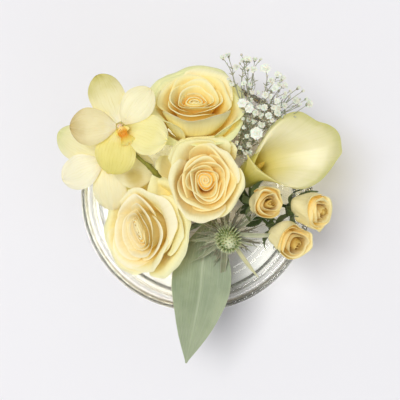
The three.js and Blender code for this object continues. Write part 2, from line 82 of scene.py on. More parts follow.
def spiral(z):
    t = max(0.0, min(1.0, (WAIST_Z - z) / (WAIST_Z - FLOOR_Z)))
    k = t * t * (2.2 - 1.2 * t)
    return LEAN * k, 1 - (1 - GATHER) * k


def down(p, radius):
    """Points of a stem from p down to the floor, as all stems lean one way round."""
    a0, s0 = spiral(p[2])
    out = []
    for z in (min(66.0, p[2] - 14), 40.0, FLOOR_Z + 0.5 + radius * 0.75):
        a1, s1 = spiral(z)
        a, k = a1 - a0, s1 / s0
        out.append(
            np.array(
                [
                    (p[0] * math.cos(a) - p[1] * math.sin(a)) * k,
                    (p[0] * math.sin(a) + p[1] * math.cos(a)) * k,
                    z,
                ]
            )
        )
    return out


def curve(points, n, closed=False):
    """n points on a centripetal Catmull-Rom curve through the points."""
    p = np.asarray(points, float)
    p = np.vstack([2 * p[0] - p[1], p, 2 * p[-1] - p[-2]])
    out = []
    segments = len(p) - 3
    for x in np.linspace(0, segments, n):
        i = min(int(x), segments - 1)
        f = x - i
        a, b, c, d = p[i], p[i + 1], p[i + 2], p[i + 3]
        t = [0.0]
        for q, r in ((a, b), (b, c), (c, d)):
            t.append(t[-1] + max(1e-6, np.linalg.norm(r - q)) ** 0.5)
        s = t[1] + f * (t[2] - t[1])

        def mix(q, r, t0, t1):
            return q * (t1 - s) / (t1 - t0) + r * (s - t0) / (t1 - t0)

        a1, a2, a3 = mix(a, b, t[0], t[1]), mix(b, c, t[1], t[2]), mix(c, d, t[2], t[3])
        b1, b2 = mix(a1, a2, t[0], t[2]), mix(a2, a3, t[1], t[3])
        out.append(mix(b1, b2, t[1], t[2]))
    return np.array(out)


def bez(a, b, c, d, t):
    s = 1 - t
    return s**3 * a + 3 * s * s * t * b + 3 * s * t * t * c + t**3 * d


def smooth(x):
    x = np.clip(x, 0, 1)
    return x * x * (3 - 2 * x)


class Waves:
    """A smooth random function of one or two numbers, about -1 to 1."""

    def __init__(self, rng, n=5, top=4.0):
        self.k = rng.uniform(0.6, top, (n, 2)) * rng.choice([-1, 1], (n, 2))
        self.p = rng.uniform(0, TAU, n)
        self.a = rng.uniform(0.5, 1.0, n)
        self.a /= self.a.sum()

    def __call__(self, x, y=0.0):
        x, y = np.broadcast_arrays(np.asarray(x, float), np.asarray(y, float))
        out = np.zeros(x.shape)
        for k, p, a in zip(self.k, self.p, self.a):
            out += a * np.sin(k[0] * x * 2.2 + k[1] * y * 2.2 + p)
        return out


# ------------------------------------------------------------------ meshes
def shell(P, th, A, side=None):
    """A closed thin solid round the middle surface P (n, m, 3). th is a number or
    (n, m). A is (n, m, 4): along, across, chance, age."""
    n, m, _ = P.shape
    N = np.cross(np.gradient(P, axis=1), np.gradient(P, axis=0))
    N = unit(N)
    th = np.broadcast_to(np.asarray(th, float), (n, m))[..., None]
    V = np.concatenate([(P + N * th / 2).reshape(-1, 3), (P - N * th / 2).reshape(-1, 3)])
    idx = np.arange(n * m).reshape(n, m)
    a, b, c, d = idx[:-1, :-1], idx[:-1, 1:], idx[1:, 1:], idx[1:, :-1]
    k = n * m
    top = np.stack([a, b, c, d], -1).reshape(-1, 4)
    bot = np.stack([a, d, c, b], -1).reshape(-1, 4) + k
    ring = np.concatenate([idx[0, :-1], idx[:-1, -1], idx[-1, :0:-1], idx[:0:-1, 0]])
    nxt = np.roll(ring, -1)
    rim = np.stack([ring, ring + k, nxt + k, nxt], -1)
    A = np.asarray(A, float).reshape(-1, 4)
    S = np.concatenate([np.zeros(k), np.ones(k)])
    return {
        "V": V,
        "F": np.concatenate([top, bot, rim]),
        "T": np.zeros((0, 3), int),
        "A": np.concatenate([A, A]),
        "S": S,
    }


def tube(path, radius, sides=10, A=(0.5, 0.5, 0.5, 0.5), bumps=None):
    """A closed tube along path (n, 3); radius is a number or (n,)."""
    path = np.asarray(path, float)
    n = len(path)
    r = np.broadcast_to(np.asarray(radius, float), (n,))
    t = unit(np.gradient(path, axis=0))
    ref = np.array([0.0, 0.0, 1.0]) if abs(t[0][2]) < 0.8 else np.array([0.0, 1.0, 0.0])
    x = unit(np.cross(ref, t[0]))
    X = [x]
    for i in range(1, n):
        x = unit(x - t[i] * np.dot(x, t[i]))
        X.append(x)
    X = np.array(X)
    Y = np.cross(t, X)
    ang = np.arange(sides) * TAU / sides
    rr = np.repeat(r[:, None], sides, 1)
    if bumps is not None:
        rr = rr * bumps(np.linspace(0, 1, n)[:, None], ang[None, :])
    V = (
        path[:, None, :]
        + X[:, None, :] * (np.cos(ang)[None, :, None] * rr[..., None])
        + Y[:, None, :] * (np.sin(ang)[None, :, None] * rr[..., None])
    ).reshape(-1, 3)
    idx = np.arange(n * sides).reshape(n, sides)
    nx = np.roll(idx, -1, axis=1)
    F = np.stack([idx[:-1], nx[:-1], nx[1:], idx[1:]], -1).reshape(-1, 4)
    V = np.concatenate([V, [path[0], path[-1]]])
    c0, c1 = n * sides, n * sides + 1
    T = np.concatenate(
        [
            np.stack([np.full(sides, c0), nx[0], idx[0]], -1),
            np.stack([np.full(sides, c1), idx[-1], nx[-1]], -1),
        ]
    )
    a = np.zeros((len(V), 4))
    a[:] = A
    along = np.repeat(np.linspace(0, 1, n), sides)
    a[: n * sides, 0] = along
    a[c0, 0], a[c1, 0] = 0, 1
    a[: n * sides, 1] = np.tile(ang / TAU, n)
    return {"V": V, "F": F, "T": T, "A": a, "S": np.zeros(len(V))}


def lathe(profile, sides, place=None, A=(0.5, 0.5, 0.5, 0.5), wobble=None):
    """A closed solid of revolution about Z whose profile starts and ends on it."""
    prof = np.asarray(profile, float)
    inner = prof[1:-1]
    ang = np.arange(sides) * TAU / sides
    R = np.repeat(inner[:, 0][:, None], sides, 1)
    if wobble is not None:
        R = R * wobble(inner[:, 1][:, None], ang[None, :])
    Z = np.repeat(inner[:, 1][:, None], sides, 1)
    V = np.stack([R * np.cos(ang), R * np.sin(ang), Z], -1).reshape(-1, 3)
    n = len(inner)
    idx = np.arange(n * sides).reshape(n, sides)
    nx = np.roll(idx, -1, axis=1)
    F = np.stack([idx[:-1], nx[:-1], nx[1:], idx[1:]], -1).reshape(-1, 4)
    V = np.concatenate([V, [[0, 0, prof[0][1]], [0, 0, prof[-1][1]]]])
    c0, c1 = n * sides, n * sides + 1
    T = np.concatenate(
        [
            np.stack([np.full(sides, c0), nx[0], idx[0]], -1),
            np.stack([np.full(sides, c1), idx[-1], nx[-1]], -1),
        ]
    )
    a = np.zeros((len(V), 4))
    a[:] = A
    a[: n * sides, 0] = np.repeat(np.linspace(0, 1, n), sides)
    a[: n * sides, 1] = np.tile(ang / TAU, n)
    if place is not None:
        V = place(V)
    return {"V": V, "F": F, "T": T, "A": a, "S": np.zeros(len(V))}


def shown(name, parts, material, replaces, smooth_angle=75):
    """One piece of the object made of the parts, standing for those CAD nodes."""
    V = np.concatenate([p["V"] for p in parts])
    off = np.cumsum([0] + [len(p["V"]) for p in parts[:-1]])
    F = np.concatenate([p["F"] + o for p, o in zip(parts, off)])
    T = np.concatenate([p["T"] + o for p, o in zip(parts, off)])
    A = np.concatenate([p["A"] for p in parts])
    S = np.concatenate([p["S"] for p in parts])
    me = bpy.data.meshes.new(name)
    me.vertices.add(len(V))
    me.vertices.foreach_set("co", (V * MM).astype(np.float32).ravel())
    loops = np.concatenate([F.ravel(), T.ravel()]).astype(np.int32)
    me.loops.add(len(loops))
    me.loops.foreach_set("vertex_index", loops)
    me.polygons.add(len(F) + len(T))
    starts = np.concatenate(
        [np.arange(len(F)) * 4, len(F) * 4 + np.arange(len(T)) * 3]
    ).astype(np.int32)
    me.polygons.foreach_set("loop_start", starts)
    me.update(calc_edges=True)
    pet = me.attributes.new("pet", "FLOAT_COLOR", "POINT")
    pet.data.foreach_set("color", A.astype(np.float32).ravel())
    face = me.attributes.new("face", "FLOAT", "POINT")
    face.data.foreach_set("value", S.astype(np.float32))
    me.polygons.foreach_set("use_smooth", np.ones(len(me.polygons), bool))
    me.materials.append(material)
    if smooth_angle:
        me.set_sharp_from_angle(angle=math.radians(smooth_angle))
    ob = bpy.data.objects.new(name, me)
    bpy.context.scene.collection.objects.link(ob)
    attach(ob, "root")
    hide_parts(*replaces)
    return ob


# ------------------------------------------------------------------ materials
class Nodes:
    """Short calls for building one material."""

    def __init__(self, name):
        self.mat = bpy.data.materials.new(name)
        self.mat.use_nodes = True
        self.t = self.mat.node_tree
        self.t.nodes.clear()
        self.out = self.t.nodes.new("ShaderNodeOutputMaterial")

    def new(self, kind, **props):
        n = self.t.nodes.new("ShaderNode" + kind)
        for k, v in props.items():
            setattr(n, k, v)
        return n

    def link(self, a, b):
        self.t.links.new(a, b)

    def put(self, socket, value):
        if hasattr(value, "is_output"):
            self.link(value, socket)
        else:
            socket.default_value = value

    def math(self, op, a, b=0.0, c=0.0, clamp=False):
        n = self.new("Math", operation=op, use_clamp=clamp)
        self.put(n.inputs[0], a)
        self.put(n.inputs[1], b)
        self.put(n.inputs[2], c)
        return n.outputs[0]

    def mix(self, f, a, b, blend="MIX"):
        n = self.new("Mix", data_type="RGBA", blend_type=blend, clamp_factor=True)
        self.put(n.inputs[0], f)
        self.put(n.inputs[6], a if hasattr(a, "is_output") else (*a, 1.0))
        self.put(n.inputs[7], b if hasattr(b, "is_output") else (*b, 1.0))
        return n.outputs[2]

    def ramp(self, f, stops, interpolation="LINEAR"):
        n = self.new("ValToRGB")
        n.color_ramp.interpolation = interpolation
        e = n.color_ramp.elements
        while len(e) > 1:
            e.remove(e[-1])
        e[0].position = stops[0][0]
        e[0].color = (*stops[0][1], 1.0)
        for p, c in stops[1:]:
            x = e.new(p)
            x.color = (*c, 1.0)
        self.put(n.inputs[0], f)
        return n.outputs[0]

    def range(self, v, a, b, c=0.0, d=1.0, smoothly=True):
        n = self.new("MapRange", interpolation_type="SMOOTHSTEP" if smoothly else "LINEAR")
        for i, x in enumerate((v, a, b, c, d)):
            self.put(n.inputs[i], x)
        return n.outputs[0]

    def noise(self, where, scale, detail=2.0, rough=0.5, distortion=0.0):
        n = self.new("TexNoise")
        self.put(n.inputs["Vector"], where)
        n.inputs["Scale"].default_value = scale
        n.inputs["Detail"].default_value = detail
        n.inputs["Roughness"].default_value = rough
        n.inputs["Distortion"].default_value = distortion
        return n.outputs[0]

    def vec(self, x, y, z):
        n = self.new("CombineXYZ")
        for i, v in enumerate((x, y, z)):
            self.put(n.inputs[i], v)
        return n.outputs[0]

    def attributes(self):
        """along, across, chance, age and which face of the sheet."""
        a = self.new("Attribute", attribute_name="pet")
        s = self.new("SeparateColor")
        self.link(a.outputs["Color"], s.inputs[0])
        f = self.new("Attribute", attribute_name="face")
        return (s.outputs[0], s.outputs[1], s.outputs[2], a.outputs["Alpha"], f.outputs["Fac"])

    def position(self):
        return self.new("TexCoord").outputs["Object"]

    def bump(self, height, distance, strength=1.0, after=None):
        n = self.new("Bump")
        n.inputs["Strength"].default_value = strength
        n.inputs["Distance"].default_value = distance
        self.put(n.inputs["Height"], height)
        if after is not None:
            self.link(after, n.inputs["Normal"])
        return n.outputs[0]

    def principled(self, color, roughness=0.5, normal=None, **values):
        p = self.new("BsdfPrincipled")
        self.put(p.inputs["Base Color"], color if hasattr(color, "is_output") else (*color, 1.0))
        self.put(p.inputs["Roughness"], roughness)
        if normal is not None:
            self.link(normal, p.inputs["Normal"])
        for k, v in values.items():
            p.inputs[k.replace("_", " ")].default_value = v
        return p

    def thin(self, shader, passed):
        """The shader, with part of the lamps' light let through the sheet. A petal has
        two faces, so what passes it is the square of this tint."""
        t = self.new("BsdfTransparent")
        t.inputs[0].default_value = (*passed, 1.0)
        path = self.new("LightPath")
        m = self.new("MixShader")
        self.link(path.outputs["Is Shadow Ray"], m.inputs[0])
        self.link(shader, m.inputs[1])
        self.link(t.outputs[0], m.inputs[2])
        return m.outputs[0]

    def done(self, shader):
        self.link(shader, self.out.inputs["Surface"])
        return self.mat


def flower(
    name,
    stops,
    old=None,
    back=None,
    tip=None,
    green=(0.62, 0.66, 0.28),
    green_at=0.0,
    vein=0.10,
    veins=34.0,
    spots=0.0,
    roughness=0.5,
    sheen=0.0,
    passed=(0.70, 0.62, 0.36),
    depth=0.0005,
    contrast=0.5,
    fleck=None,
    back_from=None,
):
    """A petal: colours along it from the claw to the lip, fine veins that run with
    it, a softer outer face, and a little light coming through."""
    n = Nodes(name)
    along, across, chance, age, face = n.attributes()
    pos = n.position()
    cloud = n.noise(pos, 90.0, 3.0, 0.55)
    wander = n.math("MULTIPLY_ADD", cloud, 0.22, -0.11)
    shift = n.math("MULTIPLY_ADD", chance, 0.10, -0.05)
    a = n.math("ADD", n.math("ADD", along, wander), shift)
    # colour along the petal; on the big roses the deep end of these ramps is partly painted shade in the gaps between
    # petals
    colour = n.ramp(a, stops)
    if old is not None:
        colour = n.mix(n.range(age, 0.15, 0.6), colour, n.ramp(a, old))
    if back is not None:
        outer = n.ramp(a, back)
        f = face if back_from is None else n.math("MULTIPLY", face, n.range(age, *back_from))
        colour = n.mix(f, colour, outer)
    # veins: streaks that follow the petal, finer towards the lip
    streak = n.noise(
        n.vec(n.math("MULTIPLY", across, veins), n.math("MULTIPLY", along, 2.2), n.math("MULTIPLY", chance, 37.0)),
        1.0, 3.0, 0.6,
    )
    lines = n.range(streak, 0.42, 0.64)
    darker = n.mix(1.0, colour, (0.93, 0.90, 0.74), "MULTIPLY")
    colour = n.mix(n.math("MULTIPLY", lines, vein * 3.0), colour, darker)
    # a green cast at the lip of the oldest petals
    if green_at > 0:
        g = n.math("MULTIPLY", n.range(age, 0.55, 1.0), n.range(n.math("ADD", along, wander), 0.55, 1.0))
        g = n.math("MULTIPLY", g, green_at)
        colour = n.mix(g, colour, green)
    if tip is not None:
        t_at, t_colour, t_amount = tip
        t = n.math("MULTIPLY", n.range(n.math("ADD", along, n.math("MULTIPLY", wander, 2.0)), t_at, 1.0), t_amount)
        colour = n.mix(t, colour, t_colour)
    if fleck is not None:
        amount, f_colour = fleck
        f = n.noise(pos, 420.0, 2.0, 0.6)
        colour = n.mix(n.math("MULTIPLY", n.range(f, 0.60, 0.72), amount), colour, f_colour)
    # cells and veins in relief
    cells = n.noise(pos, 2600.0, 1.0, 0.5)
    relief = n.math("ADD", n.math("MULTIPLY", streak, 0.9), n.math("MULTIPLY", cells, 0.25))
    normal = n.bump(relief, 0.00022, contrast)
    rough = n.math("MULTIPLY_ADD", cloud, 0.16, roughness - 0.08)
    p = n.principled(
        colour,
        rough,
        normal,
        Specular_IOR_Level=0.12,
        Sheen_Weight=sheen,
        Sheen_Roughness=0.4,
    )
    p.inputs["Sheen Tint"].default_value = (1.0, 0.97, 0.86, 1.0)
    return n.done(n.thin(p.outputs[0], passed))


def plant(name, light, dark, back=None, roughness=0.5, glow=0.1, grain=260.0, stripes=0.0, tint=None, coat=0.0):
    """Stem, sepal or small leaf: mottled green with fine lines along it."""
    n = Nodes(name)
    along, across, chance, age, face = n.attributes()
    pos = n.position()
    big = n.noise(pos, grain * 0.35, 3.0, 0.6)
    fine = n.noise(pos, grain * 4.0, 2.0, 0.6)
    colour = n.mix(n.range(big, 0.35, 0.65), dark, light)
    colour = n.mix(n.math("MULTIPLY", n.range(fine, 0.5, 0.7), 0.35), colour, n.mix(1.0, colour, (0.62, 0.66, 0.5), "MULTIPLY"))
    if back is not None:
        colour = n.mix(n.math("MULTIPLY", face, 0.8), colour, back)
    if tint is not None:
        t_colour, lo, hi = tint
        colour = n.mix(n.range(along, lo, hi), colour, t_colour)
    lines = n.noise(n.vec(n.math("MULTIPLY", across, 30.0), n.math("MULTIPLY", along, 3.0), chance), 1.0, 2.0, 0.6)
    relief = n.math("ADD", n.math("MULTIPLY", lines, 0.6 + stripes), n.math("MULTIPLY", fine, 0.5))
    normal = n.bump(relief, 0.0003, 0.5)
    p = n.principled(
        colour,
        n.math("MULTIPLY_ADD", fine, 0.2, roughness - 0.1),
        normal,
        Specular_IOR_Level=0.4,
        Subsurface_Weight=glow,
        Subsurface_Scale=0.001,
        Coat_Weight=coat,
        Coat_Roughness=0.3,
    )
    p.inputs["Subsurface Radius"].default_value = (0.7, 1.0, 0.35)
    return n.done(p.outputs[0])


def clear(name, ior, tint, roughness, density=0.0, ripple=0.0, scale=30.0):
    """Glass or water that lets lamps through, with a tint that deepens with the way
    through it."""
    n = Nodes(name)
    p = n.principled(tint, roughness, None, IOR=ior, Transmission_Weight=1.0, Specular_IOR_Level=0.5)
    if ripple:
        h = n.noise(n.position(), scale, 2.0, 0.5)
        n.link(n.bump(h, ripple, 0.6), p.inputs["Normal"])
    through = n.new("BsdfTransparent")
    through.inputs[0].default_value = (*tint, 1.0)
    path = n.new("LightPath")
    m = n.new("MixShader")
    n.link(path.outputs["Is Shadow Ray"], m.inputs[0])
    n.link(p.outputs[0], m.inputs[1])
    n.link(through.outputs[0], m.inputs[2])
    n.done(m.outputs[0])
    if density:
        v = n.new("VolumeAbsorption")
        v.inputs["Color"].default_value = (*density[1], 1.0)
        v.inputs["Density"].default_value = density[0]
        n.link(v.outputs[0], n.out.inputs["Volume"])
    return n.mat


CREAM = (0.93, 0.87, 0.66)
# Heart ramps: young, old and outer face, from the claw at 0 to the lip at 1. The deep gold to orange toward the claw is
# partly the rose's own deeper yellow and partly painted shade: the golden dimness down in the gaps between the petals.
HEART_COLOURS = {
    "gold": (
        [(0.0, (0.86, 0.54, 0.09)), (0.60, (0.90, 0.65, 0.17)), (0.76, (0.92, 0.73, 0.27)), (0.86, (0.93, 0.78, 0.35)), (0.94, (0.93, 0.81, 0.42)), (1.0, (0.93, 0.83, 0.48))],
        [(0.0, (0.86, 0.54, 0.09)), (0.55, (0.89, 0.65, 0.16)), (0.72, (0.92, 0.75, 0.28)), (0.84, (0.93, 0.81, 0.39)), (0.93, (0.93, 0.84, 0.48)), (1.0, (0.93, 0.86, 0.54))],
        [(0.0, (0.92, 0.68, 0.17)), (0.5, (0.93, 0.76, 0.27)), (0.85, (0.93, 0.82, 0.40)), (1.0, (0.92, 0.85, 0.50))],
    ),
    "lemon": (
        [(0.0, (0.90, 0.52, 0.06)), (0.55, (0.94, 0.64, 0.12)), (0.74, (0.95, 0.75, 0.22)), (0.85, (0.94, 0.81, 0.32)), (0.94, (0.93, 0.84, 0.42)), (1.0, (0.93, 0.86, 0.51))],
        [(0.0, (0.92, 0.62, 0.11)), (0.55, (0.94, 0.74, 0.22)), (0.72, (0.94, 0.81, 0.34)), (0.84, (0.93, 0.84, 0.44)), (0.93, (0.93, 0.87, 0.53)), (1.0, (0.93, 0.88, 0.61))],
        [(0.0, (0.92, 0.70, 0.15)), (0.5, (0.93, 0.78, 0.26)), (0.85, (0.92, 0.84, 0.42)), (1.0, (0.92, 0.86, 0.52))],
    ),
    "pale": (
        [(0.0, (0.93, 0.64, 0.17)), (0.55, (0.95, 0.77, 0.30)), (0.74, (0.96, 0.84, 0.42)), (0.86, (0.95, 0.86, 0.50)), (1.0, (0.94, 0.87, 0.56))],
        [(0.0, (0.93, 0.77, 0.34)), (0.55, (0.94, 0.84, 0.46)), (0.74, (0.95, 0.87, 0.54)), (0.86, (0.95, 0.89, 0.60)), (1.0, (0.94, 0.89, 0.65))],
        [(0.0, (0.94, 0.85, 0.46)), (0.5, (0.95, 0.88, 0.55)), (0.85, (0.95, 0.88, 0.60)), (1.0, (0.94, 0.89, 0.64))],
    ),
}
HEARTS = {
    tone: flower("rose_heart_petal_" + tone, young_, old=old_, back=back_, green_at=0.0, vein=0.08)
    for tone, (young_, old_, back_) in HEART_COLOURS.items()
}
# Outer petal ramps: inner face, outer face and green cast at the lip. The deeper gold toward the claw is partly the
# petal's own colour and partly painted golden shade where the petals overlap.
OUTER_COLOURS = {
    "gold": ([(0.0, (0.92, 0.68, 0.20)), (0.40, (0.93, 0.77, 0.33)), (0.65, (0.94, 0.84, 0.47)), (0.82, (0.94, 0.87, 0.58)), (1.0, (0.93, 0.89, 0.67))],
             [(0.0, (0.84, 0.66, 0.17)), (0.3, (0.87, 0.74, 0.27)), (0.7, (0.90, 0.82, 0.44)), (1.0, (0.91, 0.86, 0.58))], 0.35),
    "lemon": ([(0.0, (0.93, 0.76, 0.24)), (0.35, (0.94, 0.83, 0.36)), (0.60, (0.92, 0.84, 0.42)), (0.80, (0.90, 0.86, 0.52)), (1.0, (0.89, 0.87, 0.60))],
              [(0.0, (0.92, 0.80, 0.24)), (0.3, (0.94, 0.85, 0.38)), (0.7, (0.94, 0.88, 0.50)), (1.0, (0.91, 0.87, 0.56))], 0.75),
    "pale": ([(0.0, (0.90, 0.66, 0.20)), (0.40, (0.92, 0.76, 0.32)), (0.65, (0.93, 0.84, 0.46)), (0.82, (0.93, 0.88, 0.59)), (1.0, (0.92, 0.89, 0.68))],
             [(0.0, (0.84, 0.64, 0.16)), (0.3, (0.87, 0.73, 0.26)), (0.7, (0.90, 0.81, 0.41)), (1.0, (0.91, 0.87, 0.59))], 0.35),
}
OUTERS = {
    tone: flower(
        "rose_outer_petal_" + tone, face_, back=back_, green=(0.76, 0.80, 0.38), green_at=green_, vein=0.12, veins=46.0,
    )
    for tone, (face_, back_, green_) in OUTER_COLOURS.items()
}
SPRAY_PETAL = flower(
    "spray_rose_petal",
    [(0.0, (0.42, 0.20, 0.015)), (0.5, (0.50, 0.26, 0.03)), (0.74, (0.58, 0.34, 0.055)), (0.90, (0.68, 0.45, 0.10)), (1.0, (0.76, 0.56, 0.17))],
    old=[(0.0, (0.92, 0.74, 0.28)), (0.45, (0.95, 0.82, 0.40)), (0.66, (0.95, 0.85, 0.47)), (0.82, (0.94, 0.85, 0.47)), (1.0, (0.90, 0.79, 0.38))],
    back=[(0.0, (0.95, 0.82, 0.38)), (0.4, (0.97, 0.88, 0.51)), (0.85, (0.95, 0.85, 0.47)), (1.0, (0.91, 0.77, 0.35))],
    vein=0.14,
    veins=26.0,
    back_from=(0.25, 0.6),
)
SEPAL = plant("rose_sepal", (0.20, 0.27, 0.07), (0.10, 0.15, 0.035), back=(0.30, 0.36, 0.14), glow=0.08)
STEM = plant("rose_stem", (0.24, 0.31, 0.10), (0.13, 0.19, 0.05), roughness=0.45, stripes=0.3)
PALE_STEM = plant("calla_stalk", (0.38, 0.45, 0.14), (0.26, 0.34, 0.09), roughness=0.35, stripes=0.5, coat=0.2)
SPIKE = plant("orchid_stalk", (0.29, 0.29, 0.045), (0.17, 0.18, 0.025), roughness=0.42)
DARK_GREEN = plant("spray_foliage", (0.085, 0.13, 0.035), (0.03, 0.055, 0.014), back=(0.16, 0.21, 0.09), roughness=0.5)


# ------------------------------------------------------------------ camera, light
scene = bpy.context.scene
cam = bpy.data.cameras.new("view")
cam.sensor_width = 36.0
cam.lens = 36.0 * FOCAL / 400.0
cam.clip_start = 0.05
cam.clip_end = 50.0
eye = bpy.data.objects.new("view", cam)
eye.location = tuple(EYE * MM)
scene.collection.objects.link(eye)
scene.camera = eye

scene.view_settings.view_transform = "Standard"
scene.view_settings.look = "None"
scene.cycles.max_bounces = 16
scene.cycles.diffuse_bounces = 10
scene.cycles.glossy_bounces = 6
scene.cycles.transmission_bounces = 14
scene.cycles.transparent_max_bounces = 24

world = bpy.data.worlds.new("studio")
scene.world = world
world.use_nodes = True
wt = world.node_tree
wt.nodes.clear()
w_out = wt.nodes.new("ShaderNodeOutputWorld")
w_bg = wt.nodes.new("ShaderNodeBackground")
w_co = wt.nodes.new("ShaderNodeTexCoord")
w_sep = wt.nodes.new("ShaderNodeSeparateXYZ")
w_ramp = wt.nodes.new("ShaderNodeValToRGB")
wt.links.new(w_co.outputs["Generated"], w_sep.inputs[0])
wt.links.new(w_sep.outputs[2], w_ramp.inputs[0])
wt.links.new(w_ramp.outputs[0], w_bg.inputs[0])
wt.links.new(w_bg.outputs[0], w_out.inputs[0])
e = w_ramp.color_ramp.elements
e[0].position, e[0].color = 0.0, (0.64, 0.64, 0.65, 1)
e[1].position, e[1].color = 1.0, (0.95, 0.96, 1.0, 1)
for p, c in ((0.18, (0.67, 0.67, 0.68, 1)), (0.5, (0.82, 0.82, 0.84, 1))):
    x = e.new(p)
    x.color = c
w_bg.inputs[1].default_value = 0.46


def lamp(name, where, target, size, watts, colour=(1, 1, 1), size_y=None):
    light = bpy.data.lights.new(name, "AREA")
    light.shape = "RECTANGLE"
    light.size = size
    light.size_y = size_y or size
    light.energy = watts
    light.color = colour
    ob = bpy.data.objects.new(name, light)
    ob.location = where
    d = unit(np.array(target) - np.array(where))
    ob.rotation_euler = (math.acos(-d[2]), 0.0, math.atan2(d[1], d[0]) - math.pi / 2)
    scene.collection.objects.link(ob)
    return ob


lamp("key", (-1.0, 0.45, 4.4), (0, 0, 0.05), 1.6, 128.5, (1.0, 0.99, 0.975))
lamp("fill", (2.2, -2.6, 1.9), (0, 0, 0.05), 2.6, 16.0, (0.99, 0.99, 1.0))

n = Nodes("pale_floor")
f_noise = n.noise(n.position(), 6.0, 3.0)
n.done(n.principled(n.mix(n.math("MULTIPLY", f_noise, 0.25), (0.87, 0.865, 0.89), (0.82, 0.815, 0.84)), 0.6, Specular_IOR_Level=0.2).outputs[0])
fm = bpy.data.meshes.new("table")
q = 4.0
fm.from_pydata([(-q, -q, 0), (q, -q, 0), (q, q, 0), (-q, q, 0)], [], [(0, 1, 2, 3)])
fm.materials.append(n.mat)
floor = bpy.data.objects.new("table", fm)
floor.location = (0, 0, -0.0002)
scene.collection.objects.link(floor)


# ------------------------------------------------------------------ roses
class Field:
    """A smooth random displacement of space, small enough that nothing crosses."""

    def __init__(self, seed, amount, wave, n=9):
        rng = np.random.default_rng(seed)
        self.k = unit(rng.normal(size=(n, 3))) * rng.uniform(0.5, 1.0, (n, 1)) * TAU / wave
        self.p = rng.uniform(0, TAU, n)
        self.a = unit(rng.normal(size=(n, 3))) * amount / math.sqrt(n) * 1.4

    def __call__(self, P):
        out = np.array(P, float)
        for k, p, a in zip(self.k, self.p, self.a):
            out = out + np.sin(P @ k + p)[..., None] * a
        return out


def press(P, point, normal, soft=1.4):
    """Petals that lean on a neighbour stop at the plane between the two."""
    nrm = unit(normal)
    d = (P - point) @ nrm
    push = np.where(d > 12 * soft, d, soft * np.log1p(np.exp(np.minimum(d, 12 * soft) / soft)))
    return P - push[..., None] * nrm


RHO_K = [-3.0, -1.0, 0.0, 3.0, 6.0, 7.6, 10.0, 13.0, 16.0, 19.0, 22.0]
RHO_R = [0.3, 0.8, 1.3, 3.9, 6.4, 8.4, 11.7, 15.4, 19.0, 22.4, 25.6]
HALF_K = [0, 3, 6, 7.5, 11, 15, 20]
HALF_D = [178, 165, 142, 110, 96, 86, 78]


def bowl_profile(t, rc, zc, f0, f1, lip, r0, z0, belly, cut=0.72):
    """A petal from its claw (r0, z0) up to its crest (rc, zc), where it points at
    f0 degrees over the horizontal, then round its lip of that length to f1."""
    f0, f1 = np.radians(f0), np.radians(f1)
    a = np.clip(t / cut, 0, 1)
    h = np.hypot(rc - r0, zc - z0)
    r = bez(r0, r0 + belly, rc - 0.34 * h * np.cos(f0), rc, a)
    z = bez(z0, z0 + 0.12 * h, zc - 0.34 * h * np.sin(f0), zc, a)
    b = np.clip((t - cut) / (1 - cut), 0, None)
    f = f0 + (f1 - f0) * b
    df = np.where(np.abs(f1 - f0) < 0.02, 0.02, f1 - f0)
    r = np.where(t > cut, rc + lip * (np.sin(f) - np.sin(f0)) / df, r)
    z = np.where(t > cut, zc + lip * (np.cos(f0) - np.cos(f)) / df, z)
    return r, z


BUD_K = [-3.0, -1.0, 0.0, 3.0, 6.0, 8.4, 11.4, 14.4, 17.2, 19.8, 22.4]
BUD_R = [0.3, 0.8, 1.3, 3.9, 6.3, 8.2, 11.0, 14.6, 18.6, 22.4, 25.4]
OPEN_K = [-3.0, -1.0, 0.0, 3.0, 6.0, 7.0, 8.6, 11.0, 14.0, 17.0, 20.0, 23.0]
OPEN_R = [0.3, 0.8, 1.3, 4.1, 7.0, 8.1, 10.2, 12.6, 15.4, 18.2, 21.0, 23.4]


